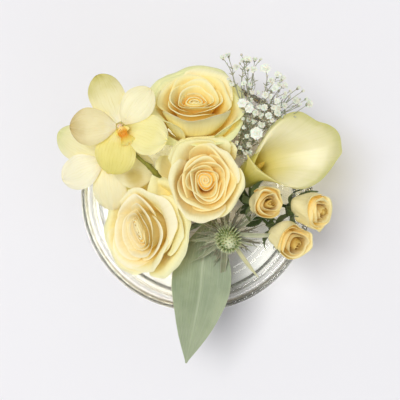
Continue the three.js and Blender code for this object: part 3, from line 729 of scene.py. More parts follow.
def spiral_petal(k, n, m, top=1.0, curl=1.0, half_scale=1.0, drop=0.0, closed=0.0, rise=0.0, flat=0.035, rings=(RHO_K, RHO_R), slope=0.55, turn=0.0, roll=0.0, drift=0.9, poly=0.04):
    """Petal k of the heart: middle surface in the flower's own axes at size 1.
    Petals lie on nested surfaces, so that none crosses another. closed bends the
    lips over the heart as in a bud, rise lifts the outer ones, flat straightens
    each lip between its ends."""
    theta = math.radians(137.5 * k + turn)
    half = math.radians(np.interp(k, HALF_K, HALF_D)) * half_scale
    u = np.linspace(-1, 1, m)
    v = np.linspace(0, 1, n) ** 0.85
    U, V = np.meshgrid(u, v)
    claw = np.where(V < 0.6, 0.34 + 0.66 * np.sin(math.pi / 2 * V / 0.6), 1.0)
    th = theta + U * half * claw
    kap = k + slope * (U * half * claw) / math.radians(137.5)
    rho = np.interp(kap, *rings)
    ring = smooth((k - 6.0) / 2.0)
    t = V * top * (1 - (0.16 + 0.30 * ring) * np.abs(U) ** 2.6)
    zc = np.interp(rho, [0, 4, 7, 8.6, 10.5, 16, 22], [35.4, 34.9, 34.2, 34.2, 34.2, 32.8, 30.4]) - drop * ring
    zc = zc + rise * smooth((rho - 6) / 8.0) - 1.2 * closed * smooth((rho - 5) / 10.0)
    f0 = np.interp(rho, [0, 3, 6.9, 8.4, 10.5, 14, 22], [96, 95, 90, 74, 60, 54, 48])
    f1 = np.interp(rho, [0, 1, 3, 6, 7.2, 8.8, 12, 16, 20, 24], [104, 110, 116, 118, 104, 58, 34, 18, -2, -24])
    lip = np.interp(rho, [0, 1, 2.5, 5, 7.2, 8.8, 12, 16, 20, 24], [0.8, 1.0, 1.2, 1.6, 1.6, 1.4, 1.6, 2.0, 2.6, 3.8]) * curl * (1 - 0.45 * ring * np.abs(U) ** 1.6)
    if roll > 0:
        # broad lips, widest in the middle of each petal
        f1 = f1 - roll * ring * 26
        lip = lip * (1 + roll * ring * (0.9 - 1.1 * np.abs(U) ** 1.5))
    if closed > 0:
        f0 = f0 + closed * (np.interp(rho, [0, 3, 8, 16, 22], [94, 92, 84, 74, 60]) - f0)
        f1 = f1 + closed * (np.interp(rho, [0, 3, 8, 16, 20, 24], [116, 132, 142, 132, 70, -10]) - f1)
        lip = lip + closed * (np.interp(rho, [0, 3, 8, 16, 20, 24], [1.0, 1.8, 2.6, 3.0, 2.4, 3.6]) * curl - lip)
    rho = rho * (1 - flat * ring * np.cos(math.pi * 0.85 * U) * smooth((V - 0.45) / 0.4))
    r0 = 0.3 + 0.2 * rho
    z0 = np.interp(rho, [0, 22], [3.0, 0.8])
    belly = np.interp(rho, [0, 7, 12, 22], [1.6, 3.4, 4.6, 8.0])
    r, z = bowl_profile(t, rho, zc, f0, f1, lip, r0, z0, belly)
    # rings are soft triangles, each turned and moved a little beside the last
    w = smooth((kap - 6.0) / 2.5) * smooth((z - 6) / 18)
    r = r * (1 + poly * w * np.cos(3 * th + 1.1 * kap))
    P = np.stack([r * np.cos(th) + drift * w * np.sin(kap + 0.7), r * np.sin(th) + drift * w * np.cos(1.15 * kap), z], -1)
    return P, U, V, t


def outer_petal(k, azimuth, n, m, wave, o):
    """One of the five outer petals, broad, with its lip rolled back."""
    half = math.radians(56 - k) * o.get("spread", 1.0)
    u = np.linspace(-1, 1, m)
    v = np.linspace(0, 1, n) ** 0.9
    U, V = np.meshgrid(u, v)
    w = np.where(V < 0.62, 0.26 + 0.74 * np.sin(math.pi / 2 * np.minimum(1, V / 0.62)), 1.0)
    w = w * (1 - 0.13 * smooth((V - 0.74) / 0.26))
    a = azimuth + U * half * w
    t = V * (1 - 0.20 * np.abs(U) ** 2.6) * (1 + 0.02 * wave(U * 1.4, 0.3 * k) * smooth((V - 0.6) / 0.4))
    t = t * (1 + 0.02 * np.exp(-((U / 0.16) ** 2)) * smooth((V - 0.8) / 0.2))
    rc = 22.8 + 0.95 * k + o.get("out", 0.0) + 0.8 * np.abs(U) ** 3 + 0.55 * wave(U * 1.7, k * 1.1)
    zc = 30.6 - 1.9 * k + o.get("up", 0.0) + 0.7 * wave(U * 1.3 + 2, k)
    f1 = o.get("f1", -18 - 7 * k) * (1 + 0.35 * wave(U * 1.8 + 4, k))
    lip = (5.2 + 0.3 * k) * o.get("lip", 1.0) * (1 + 0.12 * wave(U * 1.5 + 1, k))
    r, z = bowl_profile(t, rc, zc, o.get("f0", 56 - 3 * k), f1, lip, 4.8 + 0.7 * k, 1.4 - 1.0 * k, 9.0 + 1.1 * k)
    edge = smooth((V - 0.72) / 0.28)
    z = z + 0.45 * wave(U * 2.4, V * 1.3 + k) * edge
    r = r + 0.30 * wave(U * 2.6 + 5, V * 1.1 + k) * edge
    P = np.stack([r * np.cos(a), r * np.sin(a), z], -1)
    return P, U, V, t


def petal_attributes(U, V, chance, age):
    A = np.zeros(U.shape + (4,))
    A[..., 0] = V
    A[..., 1] = U * 0.5 + 0.5
    A[..., 2] = chance
    A[..., 3] = age
    return A


def edge_thin(U, V, th, thin):
    """Thickness that falls to thin at the free edges."""
    e = np.maximum(smooth((V - 0.9) / 0.1), smooth((np.abs(U) - 0.9) / 0.1))
    return th + (thin - th) * e


def stalk_bumps(seed, nodes=(0.22, 0.5, 0.8), amount=0.05, node=0.16):
    rng = np.random.default_rng(seed)
    w = Waves(rng, 5, 5)

    def f(t, a):
        out = 1 + amount * w(t * 6, np.cos(a)) + 0.02 * np.cos(5 * a)
        for c in nodes:
            out = out + node * np.exp(-(((t - c) / 0.008) ** 2))
        return out

    return f


def thorn(base, out, along, size):
    """A small curved thorn standing out from a stem."""
    p = [base - out * size * 0.25, base + out * size * 0.45 + along * size * 0.05, base + out * size * 0.95 - along * size * 0.2]
    return tube(curve(p, 7), np.array([1.0, 0.85, 0.6, 0.42, 0.28, 0.14, 0.03]) * size * 0.42, 8, (0.5, 0.5, 0.3, 0.8))


def calyx(place, s, turn, cup, r4, z4, wide, reach, seed, extra=0.0):
    """Receptacle with five leafy sepals."""
    rng = np.random.default_rng(seed)
    prof = curve([[0.0, p[1]] if p[0] == 0 else p for p in cup][1:-1], 26)
    prof = np.vstack([[0, cup[0][1]], prof, [0, cup[-1][1]]])[::-1]
    parts = [lathe(prof, 36, place, (0.3, 0.5, 0.2, 0.3), lambda z, a: 1 + 0.03 * np.cos(5 * a + 0.4) + 0.012 * np.cos(11 * a))]
    for i in range(5):
        a = math.radians(turn + 72 * i)
        u = np.linspace(-1, 1, 13)
        v = np.linspace(0, 1, 44)
        U, V = np.meshgrid(u, v)
        w = (wide * np.sin(math.pi * (0.25 + 0.73 * V)) + 0.12) * (1 + 0.10 * np.sin(V * 34 + i) * smooth((V - 0.2) / 0.3))
        W = w * U
        r = bez(*r4, V) + extra * V
        z = bez(*z4, V) - 0.055 * W * W + 0.5 * np.sin(V * 5 + i * 2) * V
        bend = 1.2 * np.sin(V * 3.0 + i) * V
        W = W + bend
        P = np.stack([r * math.cos(a) - W * math.sin(a), r * math.sin(a) + W * math.cos(a), z], -1)
        A = petal_attributes(U, V, rng.random(), 0.5)
        th = 0.7 * (1 - 0.6 * V) * (1 - 0.5 * np.abs(U) ** 3) + 0.12
        parts.append(shell(place(P), th * s, A))
        # whisker lobes on the sides of every other sepal
        if reach and i % 2 == 0:
            for side_, vv in ((-1, 0.42), (1, 0.56), (-1, 0.68)):
                j = int(vv * 43)
                q = P[j, 0 if side_ < 0 else 12]
                d = P[j + 3, 6] - P[j, 6]
                d = unit(d)
                o = unit(q - P[j, 6])
                pts = np.array([q - o * 0.3, q + o * 0.9 + d * 0.8, q + o * 1.5 + d * 2.2])
                parts.append(tube(place(curve(pts, 6)), np.array([0.42, 0.38, 0.3, 0.22, 0.14, 0.04]) * s, 6, (0.6, 0.5, 0.4, 0.5)))
    return parts


ROSES = {}


def rose(name, origin, direction, s, turn, seed, warp, planes, style):
    rng = np.random.default_rng(seed)
    place = Place(origin, direction, s)
    ROSES[name] = place
    field = Field(seed + 1, style.get("wild", 0.9), 20.0)
    wave = Waves(rng, 6, 3.2)

    sides_, turn_, deep = style.get("corners", (5, 0.0, 0.05))

    def corners(P):
        # lips run straighter between soft corners, which shift from ring to ring
        r = np.hypot(P[..., 0], P[..., 1])
        a = np.arctan2(P[..., 1], P[..., 0])
        k = deep * np.cos(sides_ * a + turn_ - 0.24 * r) + 0.5 * deep * np.cos((sides_ - 2) * a - turn_ + 0.15 * r)
        k = 1 + k * smooth((r - 3) / 6) * smooth((P[..., 2] - 8) / 16)
        return np.stack([P[..., 0] * k, P[..., 1] * k, P[..., 2]], -1)

    def finish(P):
        P = place(field(warp(corners(P))))
        for point, normal in planes:
            P = press(P, point, normal)
        return P

    parts = []
    last = style.get("petals", 19)
    spin = math.radians(style.get("spin", 0))
    c, sn = math.cos(spin), math.sin(spin)
    rot = np.array([[c, sn, 0], [-sn, c, 0], [0, 0, 1]])
    for k in range(last):
        top = 1.0 - 0.02 * rng.random() - (0.03 * rng.random() if k > 9 else 0)
        curl = rng.uniform(0.7, 1.35)
        P, U, V, t = spiral_petal(
            k, 38, 48, top, curl, rng.uniform(0.86, 1.08), rng.uniform(-0.6, 1.1),
            style.get("closed", 0.0), style.get("rise", 0.0), style.get("flat", 0.035),
            style.get("rings", (RHO_K, RHO_R)), style.get("slope", 0.55),
            rng.uniform(-14, 14) if k > 7 else 0.0, style.get("roll", 0.0) * rng.uniform(0.4, 1.3),
            style.get("drift", 0.9), style.get("poly", 0.04),
        )
        # each lip has its own slight rise and fall, and a soft point in its middle
        lip = smooth((V - 0.7) / 0.3)
        P[..., 2] += lip * (0.30 * wave(U * 1.1 + k * 1.7, k * 0.9) + 0.35 * np.exp(-((U / 0.22) ** 2)) * rng.uniform(0, 1))
        A = petal_attributes(U, t / top, rng.random(), min(1.0, k / (last + 6)))
        th = edge_thin(U, V, 0.56 if k < 7 else 0.42, 0.20 if k < 7 else 0.06) * s
        parts.append(shell(finish(P @ rot), th, A))
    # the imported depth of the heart, just under the lips
    deep_ = np.array([[0, 30.2], [2.0, 33.6], [4.5, 33.2], [6.4, 32.2], [7.4, 29.5], [7.2, 27.5], [0, 27.0]])[::-1]
    b = lathe(np.vstack([[0, 27.0], curve(deep_[1:-1], 24), [0, 33.8]]), 36, None, (0.5, 0.5, 0.5, 0.0), lambda z, a: 1 + 0.03 * np.cos(2 * a + z))
    b["V"] = finish(b["V"])
    parts.append(b)
    # the closed bud in the middle
    bud = curve([[0.5, 30.0], [1.05, 31.5], [1.2, 33.0], [0.95, 34.4], [0.5, 35.2]], 16)
    b = lathe(np.vstack([[0, 30.0], bud, [0, 35.5]]), 24, None, (0.9, 0.5, 0.5, 0.0), lambda z, a: 1 + 0.10 * np.cos(a + z * 1.4) + 0.06 * np.cos(2 * a - z))
    b["V"] = finish(b["V"])
    parts.append(b)
    shown(name + "_heart", parts, HEARTS[style.get("tone", "gold")], [name + "_inner_petals"])
    for k in range(5):
        az = math.radians(turn + 144 * k)
        o = style.get("outer", {}).get(k, {})
        P, U, V, t = outer_petal(k, az, 52, 60, wave, o)
        A = petal_attributes(U, V, rng.random(), 0.5 + 0.12 * k + o.get("green", 0.0))
        th = edge_thin(U, V, 0.5, 0.07) * s
        sheets = [shell(finish(P), th, A)]
        if k == 4:
            # guard petals, the oldest, lie open under the others
            for j, (g_az, g_k, opts) in enumerate(style.get("guards", ())):
                P, U, V, t = outer_petal(g_k, math.radians(g_az), 52, 60, wave, opts)
                A = petal_attributes(U, V, rng.random(), 1.0)
                sheets.append(shell(finish(P), th, A))
        shown(f"{name}_petal_{k + 1}", sheets, OUTERS[style.get("tone", "gold")], [f"{name}_outer_petal_{k + 1}"])
    cup = [[0, 0], [3.2, 0], [4.5, -2.2], [5.2, -7], [4.4, -10.6], [2.6, -13], [0, -13]]
    parts = calyx(place, s, turn + 20, cup, (4.2, 10, 14.5, 17.5), (-6.2, -4.6, -8.6, -17.5), 3.1, True, seed + 5)
    shown(name + "_sepals", parts, SEPAL, [name + "_calyx"])
    neck = place([0, 0, -13 * s / s - 7])
    neck = Place(origin, direction, 1.0)([0, 0, -13 * s - 7])
    top = Place(origin, direction, 1.0)([0, 0, -13 * s + 0.4])
    path = curve([top, neck, *down(neck, 2.3)], 90)
    taper = np.interp(np.linspace(0, 1, 90), [0, 0.04, 0.12, 1], [1.14, 1.0, 0.98, 1.02])
    st = [tube(path, 2.3 * taper, 22, (0.5, 0.5, rng.random(), 0.5), stalk_bumps(seed + 7, (0.3, 0.62), 0.035, 0.14))]
    for i in (14, 33, 52, 70):
        d = unit(path[i + 1] - path[i])
        a = rng.uniform(0, TAU)
        x = unit(np.cross(d, [0.3, 0.5, 0.8]))
        o = x * math.cos(a) + np.cross(d, x) * math.sin(a)
        st.append(thorn(path[i] + o * 2.1, o, d, 2.6))
    shown(name + "_stalk", st, STEM, [name + "_stem"])


def still(P):
    return P


def shift_heart(dx, dy, squeeze=0.0, angle=0.0, reach=20.0):
    """Moves the top of the heart sideways and presses it into an oval."""
    c, sn = math.cos(math.radians(angle)), math.sin(math.radians(angle))

    def f(P):
        P = np.array(P, float)
        r = np.hypot(P[..., 0], P[..., 1])
        w = (1 - smooth(r / reach)) * smooth(P[..., 2] / 30.0)
        a = P[..., 0] * c + P[..., 1] * sn
        b = -P[..., 0] * sn + P[..., 1] * c
        a = a * (1 + 0.35 * squeeze * w)
        b = b * (1 - squeeze * w)
        P[..., 0] = a * c - b * sn + dx * w
        P[..., 1] = a * sn + b * c + dy * w
        return P

    return f


def lean_in(angle, table, z0=12.0, z1=32.0, then=still):
    """Brings the lips of one side in over the heart, so that the petals there show
    their outer faces from above. The table maps the distance from the middle."""
    c, sn = math.cos(math.radians(angle)), math.sin(math.radians(angle))

    def f(P):
        P = then(P)
        a = P[..., 0] * c + P[..., 1] * sn
        b = -P[..., 0] * sn + P[..., 1] * c
        w = smooth((P[..., 2] - z0) / (z1 - z0))
        g = np.where(a > table[0][0], np.interp(a, *table), a)
        moved = w * (a - g)
        a = a - moved
        return np.stack([a * c - b * sn, a * sn + b * c, P[..., 2] + 0.25 * moved], -1)

    return f


def oval(wide, tall, then=still):
    """Draws the flower out into an oval, above its seat."""

    def f(P):
        P = then(P)
        w = smooth(P[..., 2] / 20.0)
        return np.stack([P[..., 0] * (1 + (wide - 1) * w), P[..., 1] * (1 + (tall - 1) * w), P[..., 2]], -1)

    return f


def border(u0, v0, u1, v1, z, lean=0.0, flip=1):
    """A plane through two grid points at height z; its normal is to the right of
    the way from the first to the second on the plan, and leans up by lean."""
    a, b = at(u0, v0, z), at(u1, v1, z)
    d = unit(b - a)
    nrm = np.array([d[1], -d[0], 0.0]) * flip
    nrm = unit(nrm + np.array([0, 0, lean]))
    return (a + b) / 2, nrm


rose(
    "rose_centre", at(204.5, 182.5, 112), (0.02, 0.02, 1), 1.0, -100, 11,
    oval(0.90, 1.03, shift_heart(0.3, -0.6, 0.05, 40)),
    [border(150, 143, 240, 136, 135, 0.25, -1)],
    {"spin": 60, "corners": (3, 0.6, 0.045), "flat": 0.08, "petals": 22, "rings": (OPEN_K, OPEN_R), "slope": 0.7, "roll": 0.35, "drift": 1.7, "poly": 0.06, "wild": 1.3,
     "outer": {0: {"out": 2.2, "up": 0.4}, 2: {"out": 0.4}, 3: {"out": 0.9}, 4: {"out": 0.4}},
     "guards": [(190, 5.0, {"f1": -10, "up": -14.0, "out": 9.0, "lip": 1.2, "spread": 0.9}), (100, 5.2, {"out": 3.6, "up": 0.5, "spread": 1.15}), (84, 6.2, {"out": 4.0, "up": -4.0})]},
)
rose(
    "rose_back", at(196, 129, 97), (0.0, 0.52, 1), 1.15, -88, 23,
    lean_in(-90, ([0, 8, 14, 20, 28], [0, 4.9, 8.6, 13.6, 21.0]), then=shift_heart(-0.3, -1.2, 0.16, 0)),
    [border(160, 149, 240, 142, 132, -0.25, 1)],
    {"tone": "lemon", "spin": 200, "corners": (5, 2.0, 0.025), "rise": 3.0, "flat": 0.05, "slope": 0.62, "roll": 0.3,
     "outer": {0: {"f0": 80, "f1": 60, "lip": 0.7, "up": 3.2, "spread": 1.22}, 1: {"up": 1.5}, 2: {"up": 1.0, "f0": 66, "f1": 10}, 3: {"out": 1.0, "f0": 62, "f1": 0}},
     "guards": [(-60, 5.0, {"out": 1.0}), (-130, 5.0, {"out": 1.0}), (146, 5.0, {"out": 2.0, "up": 1.5}), (90, 6.0, {"out": 3.5, "lip": 1.2, "up": -1.0}), (38, 5.4, {"out": 1.0})]},
)
rose(
    "rose_left", at(160, 229, 95), (-0.40, -0.02, 1), 1.10, -60, 37,
    oval(1.0, 1.06, lean_in(14, ([-3, 2, 8, 12, 15.5, 18.5, 21, 23.5, 28], [-3, 0.9, 3.6, 6.0, 9.0, 12.8, 16.6, 20.6, 27.4]), then=shift_heart(0.2, 0.6, 0.60, -70, 15.0))),
    [],
    {"tone": "pale", "spin": 20, "corners": (6, 1.0, 0.01), "closed": 0.3, "flat": 0.0, "petals": 22, "drift": 0.5, "poly": 0.02, "rings": (BUD_K, BUD_R), "slope": 0.6, "roll": 0.3,
     "outer": {1: {"f1": -12}},
     "guards": [(62, 5.4, {"out": 3.0, "up": -2.0}), (10, 3.2, {"out": -2.0, "up": -1.0, "f1": -5}), (12, 0.8, {"out": -1.2, "up": -2.2, "f1": 5}), (8, 5.2, {"out": -1.0}), (-40, 4.8, {}), (92, 5.6, {"out": 3.0, "up": -4.0})]},
)


# ------------------------------------------------------------------ orchids
def tepal_surface(az, length, wide, rise, cup, lift, seed, n=56, m=41, frill=1.0, claw=1.0):
    """A broad rounded blade on a narrow claw, pointing along azimuth az."""
    w = Waves(np.random.default_rng(seed), 6, 3.0)
    u = np.linspace(-1, 1, m)
    v = 0.5 - 0.5 * np.cos(np.linspace(0, 1, n) ** 0.9 * math.pi)
    v = 0.75 * v + 0.25 * np.linspace(0, 1, n) ** 0.92
    U, V = np.meshgrid(u, v)
    r = 3.4 + (length - 1.0) * V
    body = np.sin(math.pi * np.minimum(0.9997, 0.05 + 0.9497 * V) ** 1.28) ** 0.50
    W = wide / 2 * np.maximum(0.015, body)
    W = -1.8 * np.log(np.exp(-W / 1.8) + np.exp(-((3.6 + 1.15 * (r - 3.4)) * claw) / 1.8))
    W = W * (1 + 0.045 * w(V * 2.2, np.sign(U) * 2.0) * smooth((V - 0.2) / 0.4))
    x = r
    y = U * W
    z = lift * np.minimum(1, 0.25 + 6 * V) + rise * V * V + 2.2 * np.sin(math.pi * V) - cup * U * U * (W / 12)
    # soft pleats along the blade and a waving margin
    z = z + 0.22 * np.cos(U * 9.5) * np.sin(math.pi * np.minimum(1, V * 1.05)) * (1 - 0.5 * V)
    edge = np.abs(U) ** 2.2
    z = z + frill * (0.95 * w(V * 2.6 + 1.7 * np.sign(U), U) * edge + 0.5 * w(V * 1.4, U * 1.6 + 4))
    z = z + frill * 0.9 * w(U * 1.7 + 2, 0.0) * smooth((V - 0.75) / 0.25)
    z = z + 0.5 * np.exp(-((U / 0.10) ** 2)) * (1 - V) * -0.9
    c, s = math.cos(az), math.sin(az)
    P = np.stack([x * c - y * s, x * s + y * c, z], -1)
    return P, U, V


def orchid_tepal_material(name, base, middle, rim, tip, back, vein=0.4, spot=None):
    """Broad blade with branching veins, a warm claw and a tip colour; on some blades the darker tip or claw is painted
    shade.
    """
    n = Nodes(name)
    along, across, chance, age, face = n.attributes()
    pos = n.position()
    cloud = n.noise(pos, 80.0, 3.0, 0.55)
    a = n.math("ADD", along, n.math("MULTIPLY_ADD", cloud, 0.30, -0.15))
    colour = n.ramp(a, [(0.0, base), (0.30, middle), (0.72, middle), (1.0, rim)])
    side = n.math("ABSOLUTE", n.math("MULTIPLY_ADD", across, 2.0, -1.0))
    edge = n.range(n.math("ADD", side, n.math("MULTIPLY_ADD", cloud, 0.5, -0.25)), 0.45, 1.05)
    colour = n.mix(n.math("MULTIPLY", edge, 0.75), colour, rim)
    # tip colour toward the blade's end; on the front flower's left petal and lower left sepal this darker tip is
    # painted shade
    t_colour, t_from, t_amount = tip
    t = n.math("MULTIPLY", n.range(n.math("ADD", along, n.math("MULTIPLY_ADD", cloud, 0.5, -0.25)), t_from, 1.02), t_amount)
    colour = n.mix(t, colour, t_colour)
    # veins fan out from the claw
    fan = n.math("MULTIPLY", across, 24.0)
    wob = n.noise(n.vec(n.math("MULTIPLY", across, 3.0), n.math("MULTIPLY", along, 3.5), chance), 1.0, 2.0)
    v1 = n.math("SINE", n.math("MULTIPLY", n.math("MULTIPLY_ADD", wob, 0.16, across), 82.0))
    v2 = n.noise(n.vec(fan, n.math("MULTIPLY", along, 3.0), n.math("MULTIPLY", chance, 31.0)), 1.0, 3.0, 0.65)
    lines = n.math("MULTIPLY", n.range(v1, 0.55, 1.0), n.range(v2, 0.38, 0.62))
    colour = n.mix(n.math("MULTIPLY", lines, vein), colour, n.mix(1.0, colour, (0.90, 0.86, 0.62), "MULTIPLY"))
    if spot is not None:
        (sx, sy, sz, sr), s_colour, dot = spot
        d = n.new("VectorMath", operation="DISTANCE")
        n.link(pos, d.inputs[0])
        d.inputs[1].default_value = (sx * MM, sy * MM, sz * MM)
        dist = n.math("ADD", d.outputs["Value"], n.math("MULTIPLY_ADD", cloud, 0.006, -0.003))
        colour = n.mix(n.math("MULTIPLY", n.range(dist, sr * MM, sr * 0.45 * MM), 0.85), colour, s_colour)
        colour = n.mix(n.math("MULTIPLY", n.range(dist, 0.0016, 0.0008), 0.9), colour, dot)
    colour = n.mix(n.math("MULTIPLY", face, 0.6), colour, back)
    cells = n.noise(pos, 2300.0, 1.0)
    relief = n.math("ADD", n.math("MULTIPLY", lines, 0.5), n.math("MULTIPLY", cells, 0.35))
    normal = n.bump(n.math("ADD", relief, n.math("MULTIPLY", v2, 0.5)), 0.0002, 0.55)
    p = n.principled(
        colour,
        n.math("MULTIPLY_ADD", cloud, 0.14, 0.40),
        normal,
        Specular_IOR_Level=0.28,
        Sheen_Weight=0.04,
        Sheen_Roughness=0.4,
        Subsurface_Weight=0.15,
        Subsurface_Scale=0.0005,
    )
    p.inputs["Subsurface Radius"].default_value = (1.0, 0.86, 0.4)
    return n.done(n.thin(p.outputs[0], (0.62, 0.58, 0.36)))


YELLOW = (0.86, 0.72, 0.17)
PALE = (0.93, 0.86, 0.52)


def orchid_lip_material():
    n = Nodes("orchid_lip")
    along, across, chance, age, face = n.attributes()
    pos = n.position()
    cloud = n.noise(pos, 260.0, 3.0, 0.6)
    a = n.math("ADD", along, n.math("MULTIPLY_ADD", cloud, 0.24, -0.12))
    colour = n.ramp(a, [(0.0, (0.90, 0.68, 0.24)), (0.20, (0.80, 0.38, 0.03)), (0.45, (0.78, 0.30, 0.02)), (0.62, (0.86, 0.56, 0.07)), (0.80, (0.90, 0.74, 0.18)), (1.0, (0.90, 0.78, 0.26))])
    spots = n.noise(pos, 950.0, 2.0, 0.6)
    colour = n.mix(n.math("MULTIPLY", n.range(spots, 0.58, 0.66), n.math("MULTIPLY", n.range(a, 0.75, 0.2), 0.75)), colour, (0.42, 0.10, 0.015))
    normal = n.bump(n.math("ADD", n.noise(pos, 1800.0, 2.0), n.math("MULTIPLY", spots, 0.6)), 0.0003, 0.6)
    p = n.principled(colour, 0.42, normal, Specular_IOR_Level=0.35, Subsurface_Weight=0.35, Subsurface_Scale=0.0006)
    p.inputs["Subsurface Radius"].default_value = (1.0, 0.7, 0.3)
    return n.done(n.thin(p.outputs[0], (0.74, 0.60, 0.24)))


def orchid_column_material():
    n = Nodes("orchid_column")
    along, across, chance, age, face = n.attributes()
    pos = n.position()
    colour = n.mix(n.noise(pos, 300.0, 2.0), (0.86, 0.62, 0.34), (0.90, 0.76, 0.48))
    dots = n.noise(pos, 900.0, 2.0, 0.6)
    colour = n.mix(n.math("MULTIPLY", n.range(dots, 0.55, 0.62), 0.8), colour, (0.34, 0.09, 0.02))
    normal = n.bump(n.noise(pos, 1500.0, 2.0), 0.0003, 0.6)
    p = n.principled(colour, 0.35, normal, Specular_IOR_Level=0.4, Subsurface_Weight=0.3, Subsurface_Scale=0.0005)
    return n.done(p.outputs[0])


LIP = orchid_lip_material()
COLUMN = orchid_column_material()


def orchid(name, origin, direction, tepals, lip_at, seed, reach=11.8):
    place = Place(origin, direction, 1.0)
    for i, (label, az, length, wide, rise, cup, lift, mat, frill) in enumerate(tepals):
        P, U, V = tepal_surface(math.radians(az), length, wide, rise, cup, lift, seed + 10 * i, frill=frill)
        th = edge_thin(U, V, 0.55, 0.08)
        A = petal_attributes(U, V, (seed * 0.37 + i * 0.21) % 1.0, 0.5)
        shown(f"{name}_{label}_blade", [shell(place(P[:, ::-1]), th[:, ::-1], A[:, ::-1])], mat, [f"{name}_{label}"])
    # lip: a waisted tongue with raised keels, two side lobes and a short nectar spur
    a = math.radians(lip_at)
    c, s = math.cos(a), math.sin(a)
    w = Waves(np.random.default_rng(seed + 3), 5, 3.0)
    u = np.linspace(-1, 1, 33)
    v = np.linspace(0, 1, 44)
    U, V = np.meshgrid(u, v)
    half = 2.3 + 1.1 * np.sin(math.pi * np.minimum(1, V * 1.9)) + 3.3 * smooth((V - 0.42) / 0.4) * (1 - smooth((V - 0.84) / 0.20))
    half = half * (1 + 0.10 * w(V * 4, np.sign(U)) * smooth((V - 0.4) / 0.3))
    half = np.maximum(half, 0.5)
    r = 2.6 + reach * V - 1.0 * np.exp(-((U / 0.22) ** 2)) * smooth((V - 0.9) / 0.1)
    y = U * half
    z = 4.4 + 1.9 * np.sin(math.pi * V) - 2.9 * V * V + 2.0 * U * U * (1 - V) - 1.3 * np.abs(U) ** 2 * smooth((V - 0.5) / 0.4)
    keel = np.exp(-(((np.abs(U) - 0.30) / 0.13) ** 2)) + 0.8 * np.exp(-((U / 0.09) ** 2))
    z = z + 0.85 * keel * np.sin(math.pi * np.minimum(1, V * 1.5)) ** 1.2
    z = z + 0.55 * w(V * 3 + 2, U * 2) * smooth((V - 0.5) / 0.3) * np.abs(U)
    P = np.stack([r * c - y * s, r * s + y * c, z], -1)
    parts = [shell(place(P), 0.8, petal_attributes(U, V, 0.3, 0.5))]
    for side in (-1, 1):
        u2 = np.linspace(-1, 1, 17)
        v2 = np.linspace(0, 1, 22)
        U2, V2 = np.meshgrid(u2, v2)
        hw = 2.1 * np.sin(math.pi * np.minimum(0.98, 0.22 + 0.76 * V2)) ** 0.6
        q = 1.2 + 4.6 * V2
        lift = 4.0 + 3.2 * np.sin(V2 * 1.7)
        x = 3.2 + U2 * hw + 1.6 * V2
        y2 = side * q
        z2 = lift - 0.4 * U2 * U2
        P2 = np.stack([x * c - y2 * s, x * s + y2 * c, z2], -1)
        if side < 0:
            P2 = P2[:, ::-1]
        parts.append(shell(place(P2), 0.55, petal_attributes(U2, V2 * 0.5 + 0.5, 0.6, 0.5)))
    spur = curve([[2.6 * c, 2.6 * s, 5.0], [1.6 * c, 1.6 * s, 1.5], [0.4 * c, 0.4 * s, -3.5], [-2.0 * c, -2.0 * s, -8.5]], 26)
    parts.append(tube(place(spur), np.interp(np.linspace(0, 1, 26), [0, 0.15, 0.75, 0.95, 1], [2.0, 1.7, 1.1, 0.9, 0.25]), 14, (0.5, 0.5, 0.8, 0.5)))
    shown(name + "_labellum", parts, LIP, [name + "_lip"])
    # column with its anther cap, stigma hollow and wings
    prof = [[0, -7], [1.3, -7.0], [1.6, -4.5], [1.9, -1.5], [2.05, 1.0], [2.1, 2.4], [1.75, 3.0], [1.95, 3.5], [1.9, 4.4], [1.45, 5.1], [0.7, 5.5], [0, 5.6]]
    inner = curve(prof[1:-1], 40)
    prof = np.vstack([prof[0], inner, prof[-1]])

    def notch(zz, ang):
        d = np.cos(ang - a)
        return 1 - 0.30 * np.exp(-(((zz - 2.2) / 1.3) ** 2)) * np.exp(-((1 - d) / 0.12)) + 0.10 * np.exp(-(((zz - 2.6) / 1.6) ** 2)) * np.abs(np.sin(ang - a)) ** 3

    cparts = [lathe(prof, 40, place, (0.5, 0.5, 0.5, 0.5), notch)]
    for side in (-1, 1):
        b = a + side * 0.5
        q = np.array([1.7 * math.cos(b), 1.7 * math.sin(b), 3.7])
        e = np.array([2.6 * math.cos(b), 2.6 * math.sin(b), 3.2])
        cparts.append(tube(place(curve([q * 0.6, q, e], 8)), np.array([0.5, 0.62, 0.66, 0.62, 0.55, 0.45, 0.3, 0.1]), 10, (0.4, 0.4, 0.6, 0.5)))
    shown(name + "_anther", cparts, COLUMN, [name + "_column"])


# left petal: the darkening outward to ochre at its far end is painted shade
T_FL = orchid_tepal_material("orchid_side_left", (0.86, 0.81, 0.56), (0.80, 0.71, 0.39), (0.76, 0.67, 0.36), ((0.60, 0.47, 0.20), 0.44, 0.9), PALE)
T_FR = orchid_tepal_material("orchid_side_right", (0.86, 0.80, 0.50), (0.89, 0.84, 0.54), (0.88, 0.82, 0.52), ((0.86, 0.78, 0.48), 0.8, 0.5), PALE)
T_FD = orchid_tepal_material("orchid_dorsal", (0.88, 0.84, 0.62), (0.82, 0.76, 0.42), (0.86, 0.80, 0.46), ((0.56, 0.50, 0.11), 0.46, 0.85), PALE, vein=0.6)
# lower right sepal: the dark olive claw is painted shade beside the lip
T_FLR = orchid_tepal_material("orchid_lower_right", (0.50, 0.42, 0.07), (0.85, 0.78, 0.32), (0.89, 0.83, 0.43), ((0.86, 0.80, 0.40), 0.75, 0.5), YELLOW)
# lower left sepal: its own colour is olive-yellow; the darker olive toward its tip is painted shade
T_FLL = orchid_tepal_material("orchid_lower_left", (0.84, 0.78, 0.38), (0.79, 0.70, 0.21), (0.84, 0.76, 0.30), ((0.68, 0.60, 0.13), 0.60, 0.75), YELLOW, vein=0.6)

